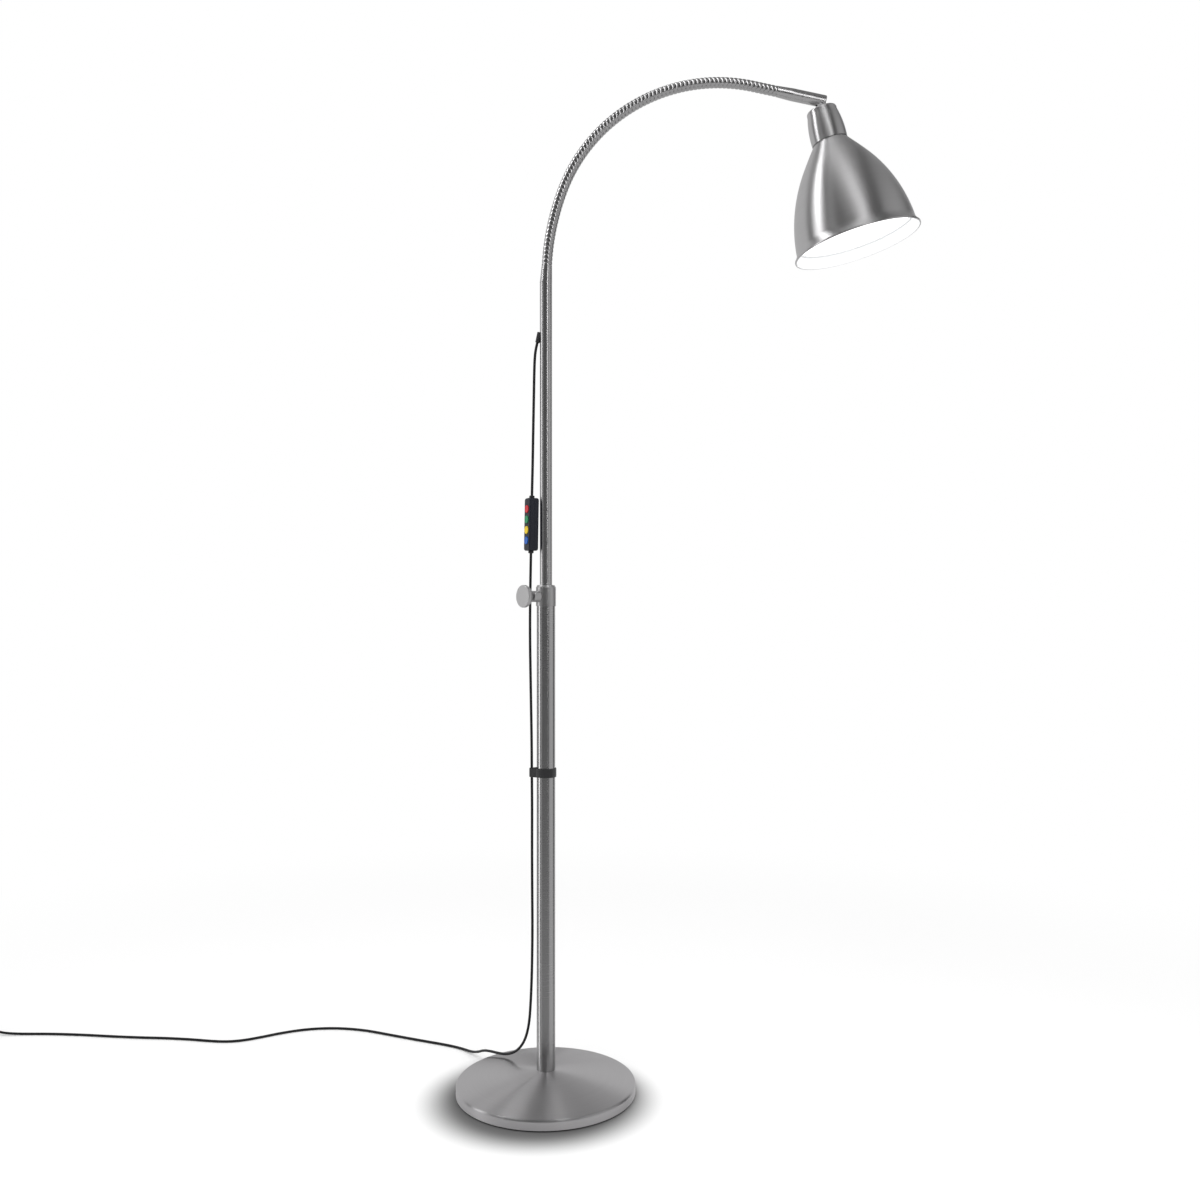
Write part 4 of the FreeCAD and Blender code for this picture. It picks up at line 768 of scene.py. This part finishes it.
NECK_SIDES = 64
LEAD_SIDES = 16
ROWS_PER_LINK = 112
LEAD_START = -0.0865
LEAD_END = FERRULE_LENGTH + NECK_LENGTH + ARM_FERRULE + 0.006
middles = FERRULE_LENGTH + LINK_LENGTH * (np.arange(NECK_LINKS) + 0.5)
stops = np.concatenate([[FERRULE_LENGTH], middles, [FERRULE_LENGTH + NECK_LENGTH]])
for number, (start, end) in enumerate(zip(stops, stops[1:])):
    rows = round(ROWS_PER_LINK * (end - start) / LINK_LENGTH) + 1
    outside = np.linspace(start, end, rows)
    inside = np.linspace(end, start, 9)
    grid = np.concatenate([
        along_arm(outside, rib_shape(outside, NECK_SIDES), NECK_SIDES),
        along_arm(inside, np.full((9, NECK_SIDES), NECK_BORE), NECK_SIDES)])
    skin = surface(f"neck_winding_{number:02d}", grid, True, 50.0)
    lead_from = LEAD_START if number == 0 else start
    lead_to = LEAD_END if number == NECK_LINKS else end
    reach = np.linspace(lead_from, lead_to, 12)
    rings = along_arm(np.concatenate([reach[:1], reach, reach[-1:]]),
                      np.repeat([[0.0]] + [[LEAD_RADIUS]] * 12 + [[0.0]], LEAD_SIDES, 1),
                      LEAD_SIDES)
    lead = surface(f"lamp_lead_{number:02d}", rings)
    skin.data.materials.append(wire_nickel)
    lead.data.materials.append(cord_vinyl)
    for piece in (skin, lead):
        if number == 0:
            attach(piece, "upper_mast")
        elif number == NECK_LINKS:
            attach(piece, "head_arm")
        else:
            ends, _ = arm_line([start, end])
            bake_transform(piece)
    if number < NECK_LINKS:
        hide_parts(f"gooseneck_{number + 1:02d}")
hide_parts("lamp_lead")

ferrule_place = arm_place(0.0)
lower_ferrule = turned("neck_sleeve_lower", [
    (0.0024, -0.009), (0.0069, -0.009), (0.0069, 0.0002), (0.00835, 0.0002, 0.0002),
    (RIB_RADIUS, FERRULE_LENGTH, 0.0006), (NECK_BORE, FERRULE_LENGTH),
    (NECK_BORE, FERRULE_LENGTH + 0.004), (0.0024, FERRULE_LENGTH + 0.004),
], ferrule_place)
stand_for(lower_ferrule, brushed_nickel("sleeve_nickel_lower", ferrule_place, roughness=0.26),
          "lower_ferrule", slot="ferrule_steel")
tip_place = arm_place(FERRULE_LENGTH + NECK_LENGTH)
upper_ferrule = turned("neck_sleeve_upper", [
    (0.0024, -0.004), (NECK_BORE, -0.004), (NECK_BORE, 0), (RIB_RADIUS, 0, 0.0006),
    (ARM_RADIUS, ARM_FERRULE * 0.6, 0.002), (ARM_RADIUS, ARM_FERRULE, 0.0003),
    (0.0069, ARM_FERRULE), (0.0069, ARM_FERRULE + 0.009), (0.0024, ARM_FERRULE + 0.009),
], tip_place)
arm_nickel = brushed_nickel("arm_nickel", tip_place, roughness=0.24, stretch=0.3)
stand_for(upper_ferrule, arm_nickel, "upper_ferrule", slot="ferrule_steel")

# ---------------------------------------------------------------- head arm
# Short plated tube after the gooseneck with two ears under its end, closed by a pressed cap. A
# bright screw through the ears carries the head's tongue.
stand_for(finished_copy("head_arm_tube", "head_tube", 0.0002), arm_nickel, "head_tube",
          slot="ferrule_steel")
stand_for(finished_copy("head_arm_cap", "head_end_cap", 0.0002), arm_nickel, "head_end_cap",
          slot="ferrule_steel")
bright = cast_metal("bright_screw", (0.78, 0.78, 0.80), 0.14, 1200.0)
stand_for(finished_copy("tilt_screw", "pivot_screw", 0.0003), bright, "pivot_screw",
          slot="bright_screw")
stand_for(finished_copy("head_tongue", "head_stem", 0.0003), arm_nickel, "head_stem",
          slot="ferrule_steel")

# ---------------------------------------------------------------- head
# Bell shade and socket cap, both spun from sheet, brushed and plated outside, the shade enamelled
# white inside. An opal disc closes the light module and a white ring holds it in the mouth.
HEAD_LEAN = math.radians(15.1)
MOUTH = (0.417964, 0, 1.136854)
HEAD_DEPTH = 0.1874
NECK_TOP = 0.1424
SHEET = 0.001
CAP_TOP_RADIUS = 0.0202
CAP_FOOT_RADIUS = 0.0238
SHADE_NECK = (0.0223, NECK_TOP)
SHADE_SHOULDER = (0.0429, 0.1146)
SHADE_SKIRT = (0.0805, 0.0089)
SHOULDER_BEND = 0.850
SKIRT_BEND = 0.2066
LIP = 0.0838
BEAD = 0.0012
DISC_HEIGHT = 0.0184
DISC_THICKNESS = 0.0025
DISC_GAP = 0.0004

head_place = axis_place(MOUTH, (-math.sin(HEAD_LEAN), 0, math.cos(HEAD_LEAN)))
head_nickel = brushed_nickel("head_nickel", head_place, roughness=0.36, depth=0.2)


def inwards(point, wall=SHEET):
    """The same point on the sheet's inner face."""
    return point[0] - wall, point[1]


skirt_inside = np.array(arc(inwards(SHADE_SKIRT), inwards(SHADE_SHOULDER), SKIRT_BEND - SHEET, 1))
shade = turned("bell_shade", [
    (SHADE_NECK[0], NECK_TOP + 0.003),
    *reversed(arc(SHADE_SHOULDER, SHADE_NECK, SHOULDER_BEND, 1)),
    *list(reversed(arc(SHADE_SKIRT, SHADE_SHOULDER, SKIRT_BEND, 1)))[1:],
    (LIP, BEAD * 2, 0.0006),
    (LIP + BEAD, BEAD * 2, 0.0009),
    (LIP + BEAD, 0, 0.0009),
    (LIP - SHEET, 0, 0.0005),
    (LIP - SHEET, BEAD),
    *map(tuple, skirt_inside),
    *arc(inwards(SHADE_SHOULDER), inwards(SHADE_NECK), SHOULDER_BEND - SHEET, 1)[1:],
    (SHADE_NECK[0] - SHEET, NECK_TOP + 0.003),
], head_place, segments=256, sharp=40.0)
stand_for(shade, head_nickel, "shade", slot="spun_shade")
enamel = moulded("white_enamel", (0.93, 0.935, 0.94), 0.25, 1200.0, 0.05)
shade.data.materials.append(enamel)
face_count = len(shade.data.polygons)
centres = np.zeros(face_count * 3)
normals = np.zeros(face_count * 3)
shade.data.polygons.foreach_get("center", centres)
shade.data.polygons.foreach_get("normal", normals)
own = np.array(head_place.inverted())
centres = centres.reshape(-1, 3) @ own[:3, :3].T + own[:3, 3]
normals = normals.reshape(-1, 3) @ own[:3, :3].T
facing_in = np.sum(centres[:, :2] * normals[:, :2], axis=1) < -1e-4
shade.data.polygons.foreach_set("material_index", facing_in.astype(np.int32))

cap = turned("spun_cap", [
    *arc((CAP_FOOT_RADIUS, NECK_TOP), (CAP_TOP_RADIUS, HEAD_DEPTH - 0.006), 0.130, 1, 16),
    (CAP_TOP_RADIUS - 0.0002, HEAD_DEPTH, 0.0032),
    (0.0051, HEAD_DEPTH), (0.0051, HEAD_DEPTH - SHEET),
    (CAP_TOP_RADIUS - SHEET - 0.0002, HEAD_DEPTH - SHEET, 0.0022),
    (CAP_FOOT_RADIUS - SHEET, NECK_TOP + 0.012), (CAP_FOOT_RADIUS - SHEET, NECK_TOP),
], head_place)
stand_for(cap, head_nickel, "socket_cap", slot="spun_shade")

opal, tone, shader = new_material("opal_disc")
x, y, z = tone.add("ShaderNodeMapping", {"vector_type": "TEXTURE"}, {
    "Vector": tone.add("ShaderNodeTexCoord", out="Object"),
    "Location": head_place.translation[:], "Rotation": head_place.to_euler()[:]}).parts()
middle = combined(tone.tree, x, y, 0.0).vector("LENGTH", (0, 0, 0), "Value").eased(0.08, 0.0)
milk = tone.add("ShaderNodeTexCoord", out="Object").noise(2.0, 300.0)
feed(shader, Base_Color=mix_colours(milk, (0.90, 0.90, 0.89, 1), (0.94, 0.94, 0.93, 1)),
     Roughness=milk * 0.1 + 0.35,
     Emission_Color=mix_colours(middle, (0.95, 0.97, 1.0, 1), (1.0, 1.0, 0.98, 1)),
     Emission_Strength=1.15)
disc_edge = np.interp(DISC_HEIGHT, skirt_inside[:, 1], skirt_inside[:, 0]) - DISC_GAP
disc = turned("opal_disc", [
    (0, DISC_HEIGHT), (disc_edge, DISC_HEIGHT), (disc_edge, DISC_HEIGHT + DISC_THICKNESS / 2),
    (disc_edge - 0.001, DISC_HEIGHT + DISC_THICKNESS), (0, DISC_HEIGHT + DISC_THICKNESS)],
    head_place, loop=False)
stand_for(disc, opal, "led_diffuser", slot="opal_diffuser")
stand_for(finished_copy("white_mouth_ring", "diffuser_ring", 0.0003), enamel, "diffuser_ring",
          slot="white_ring")
aluminium = cast_metal("cast_aluminium", (0.70, 0.70, 0.71), 0.45, 900.0)
board_white = moulded("solder_mask", (0.80, 0.80, 0.80), 0.35, 2000.0)
phosphor = moulded("phosphor", (0.85, 0.68, 0.16), 0.5, 3000.0)
dress(zinc_plate, "stem_nut", "board_screws")
dress(aluminium, "heat_sink")
dress(board_white, "led_board")
dress(phosphor, "led_chips")

# ---------------------------------------------------------------- dimmer switch
# Slim black case in two halves on the hanging cord, with four dished buttons in a row. Moulded
# plastic, held by two screws from behind, with a rubber cuff at each end.
SWITCH_FLOOR = (-0.0201, 0, 0.7262)
SWITCH_TURN = math.radians(-62)
SWITCH_LEAN = math.radians(1)
SWITCH_LENGTH = 0.0705
BUTTON_RADIUS = 0.0051
BUTTON_PITCH = 0.01405
BUTTON_FLOOR = 0.0042
BUTTON_TOP = 0.0039
BUTTON_DISH = 0.0006
BUTTONS = (
    ("blue", (0.004, 0.10, 0.46)), ("yellow", (0.82, 0.58, 0.004)),
    ("green", (0.004, 0.24, 0.085)), ("red", (0.56, 0.010, 0.022)),
)
switch_place = (Matrix.Translation(Vector(SWITCH_FLOOR)) @ Matrix.Rotation(SWITCH_LEAN, 4, "Y")
                @ Matrix.Rotation(SWITCH_TURN, 4, "Z"))
case_plastic = moulded("switch_plastic", (0.006, 0.007, 0.016), 0.42, 2600.0, 0.3)
stand_for(finished_copy("switch_face", "switch_front_case", 0.0002), case_plastic,
          "switch_front_case", slot="switch_plastic")
stand_for(finished_copy("switch_back", "switch_back_case", 0.0002), case_plastic,
          "switch_back_case", slot="switch_plastic")
stand_for(finished_copy("switch_cord_cuffs", "switch_cuffs", 0.0008), rubber, "switch_cuffs",
          slot="black_rubber")
button_place = Matrix.Rotation(math.pi / 2, 4, "X")
dish = np.linspace(BUTTON_RADIUS - 0.0006, 0, 12)
for number, (name, colour) in enumerate(BUTTONS):
    height = SWITCH_LENGTH / 2 - 0.0007 + BUTTON_PITCH * (number - 1.5)
    place = switch_place @ Matrix.Translation((0, -BUTTON_FLOOR, height)) @ button_place
    key = turned(f"key_{name}", [
        (0, 0), (0.0062, 0), (0.0062, 0.0009), (BUTTON_RADIUS, 0.0009),
        (BUTTON_RADIUS, BUTTON_TOP, 0.0004),
        *zip(dish, BUTTON_TOP - BUTTON_DISH * (1 - (dish / dish[0]) ** 2))],
        place, loop=False, segments=96)
    stand_for(key, moulded(f"{name}_plastic", colour, 0.3, 2200.0, 0.08), f"button_{name}",
              slot=f"button_{name}")
board_green = moulded("board_green", (0.04, 0.17, 0.08), 0.3, 1500.0)
dress(board_green, "switch_board")
dress(zinc_plate, "switch_screws")

# ---------------------------------------------------------------- strap
# Black hook-and-loop band that ties the cord to the mast: woven tape, its free end lapped over
# itself in front.
STRAP_FLOOR = 0.423
STRAP_WIDTH = 0.012
STRAP_THICKNESS = 0.0014
STRAP_REACH = 0.019
MAST_LOOP = MAST_RADIUS + 0.0001
CORD_LOOP = CORD_RADIUS + 0.0002
TAIL_FROM = math.radians(-165)
TAIL_TO = math.radians(-62)


def belt(offset, steps=48):
    """Points of a belt round the mast's circle and the cord's circle, at an offset outside both: an
    arc on each, joined by the straight stretches that touch both."""
    big, small = MAST_LOOP + offset, CORD_LOOP + offset
    tilt = math.pi / 2 + math.asin((big - small) / STRAP_REACH)
    round_mast = np.linspace(-tilt, tilt, steps)
    round_cord = np.linspace(tilt, 2 * math.pi - tilt, steps // 3)
    straight = np.linspace(0, 1, 6)[1:-1, None]
    mast_arc = big * np.stack([np.cos(round_mast), np.sin(round_mast)], -1)
    cord_arc = small * np.stack([np.cos(round_cord), np.sin(round_cord)], -1) - [STRAP_REACH, 0]
    return np.concatenate([
        mast_arc, mast_arc[-1] * (1 - straight) + cord_arc[0] * straight,
        cord_arc, cord_arc[-1] * (1 - straight) + mast_arc[0] * straight])


def tape_section(thickness, width, sides=28):
    """Rounded flat section: (thickness/2 c^(1/3), width/2 s^(1/3)) with the signs of cos and sin."""
    turn = np.linspace(0, 2 * math.pi, sides, endpoint=False)
    ease = np.stack([np.cos(turn), np.sin(turn)], -1)
    ease = np.sign(ease) * np.abs(ease) ** (1 / 3)
    return ease * [thickness / 2, width / 2]


section = tape_section(STRAP_THICKNESS, STRAP_WIDTH)
middle_line = belt(STRAP_THICKNESS / 2)
outward = belt(STRAP_THICKNESS / 2 + 0.001) - middle_line
outward /= np.linalg.norm(outward, axis=1)[:, None]
band_grid = np.concatenate([
    middle_line[:, None] + outward[:, None] * section[None, :, :1],
    np.broadcast_to(STRAP_FLOOR + STRAP_WIDTH / 2 + section[None, :, 1:],
                    (len(middle_line), len(section), 1))], -1)
band = surface("cord_band", band_grid, True, 60.0)

tail_turn = np.linspace(TAIL_FROM, TAIL_TO, 36)
tail_rise = np.clip((tail_turn - TAIL_FROM) / 0.35, 0, 1)
tail_radius = MAST_LOOP + STRAP_THICKNESS * (0.6 + 0.9 * tail_rise)
tail_out = np.stack([np.cos(tail_turn), np.sin(tail_turn)], -1)
tail_section = tape_section(STRAP_THICKNESS * 0.8, STRAP_WIDTH * 0.94)
tail_line = tail_out * tail_radius[:, None]
tail_grid = np.concatenate([
    tail_line[:, None] + tail_out[:, None] * tail_section[None, :, :1],
    np.broadcast_to(STRAP_FLOOR + STRAP_WIDTH / 2 + tail_section[None, :, 1:],
                    (len(tail_line), len(tail_section), 1))], -1)
ends = [np.broadcast_to(tail_grid[end].mean(0), (1, len(tail_section), 3)) for end in (0, -1)]
tail = surface("cord_band_tail", np.concatenate([ends[0], tail_grid, ends[1]]), False, 60.0)

woven, tone, shader = new_material("woven_tape")
place = tone.add("ShaderNodeTexCoord", out="Object")
x, y, z = place.parts()
bearing_round = x.math("ARCTAN2", y) * 36
weave = (bearing_round + z * 3400).math("SINE") * (bearing_round - z * 3400).math("SINE")
weave = weave * 0.5 + 0.5
fuzz = place.noise(3.0, 2500.0)
feed(shader, Base_Color=mix_colours(fuzz, (0.006, 0.006, 0.007, 1), (0.022, 0.022, 0.024, 1)),
     Roughness=fuzz * 0.1 + 0.75,
     Normal=tone.add("ShaderNodeBump", inputs={
         "Strength": 0.7, "Distance": 0.0003, "Height": weave * 0.7 + fuzz * 0.3}))
shader.inputs["Sheen Weight"].default_value = 0.25
stand_for(band, woven, "cord_strap", slot="black_strap")
stand_for(tail, woven, body="base", slot="black_strap")

# ---------------------------------------------------------------- adapter
# Plug-in power adapter at the cord's end: two moulded half shells with a seam, two round pins, and
# a ribbed strain relief that grips the cord.
ADAPTER_ENTRY = (-0.892, 0.2045, 0.015)
RELIEF_LENGTH = 0.012
RELIEF_RIBS = 4
relief_place = axis_place(ADAPTER_ENTRY, (-1, 0, 0))
relief_outline = [(0, 0), (0.0024, 0, 0.0003)]
for rib in range(RELIEF_RIBS):
    foot = RELIEF_LENGTH * (rib + 0.4) / RELIEF_RIBS
    swell = 0.0024 + 0.0012 * foot / RELIEF_LENGTH
    relief_outline += [(swell, foot, 0.0002), (swell - 0.0005, foot + 0.0003),
                       (swell - 0.0005, foot + 0.0011), (swell + 0.0002, foot + 0.0014, 0.0002)]
relief_outline += [(0.0036, RELIEF_LENGTH), (0, RELIEF_LENGTH)]
relief = turned("adapter_cord_relief", relief_outline, relief_place, loop=False, segments=48)
stand_for(relief, rubber, "adapter_relief", slot="black_rubber")
adapter_plastic = moulded("adapter_plastic", (0.018, 0.018, 0.020), 0.45, 1700.0, 0.35)
case = finished_copy("adapter_shell", "adapter_case")
stand_for(case, adapter_plastic, "adapter_case", slot="adapter_plastic")
pin_nickel = cast_metal("pin_nickel", (0.74, 0.72, 0.66), 0.2, 1500.0)
pins = finished_copy("adapter_contact_pins", "adapter_pins", 0.0006)
stand_for(pins, pin_nickel, "adapter_pins", slot="pin_brass")
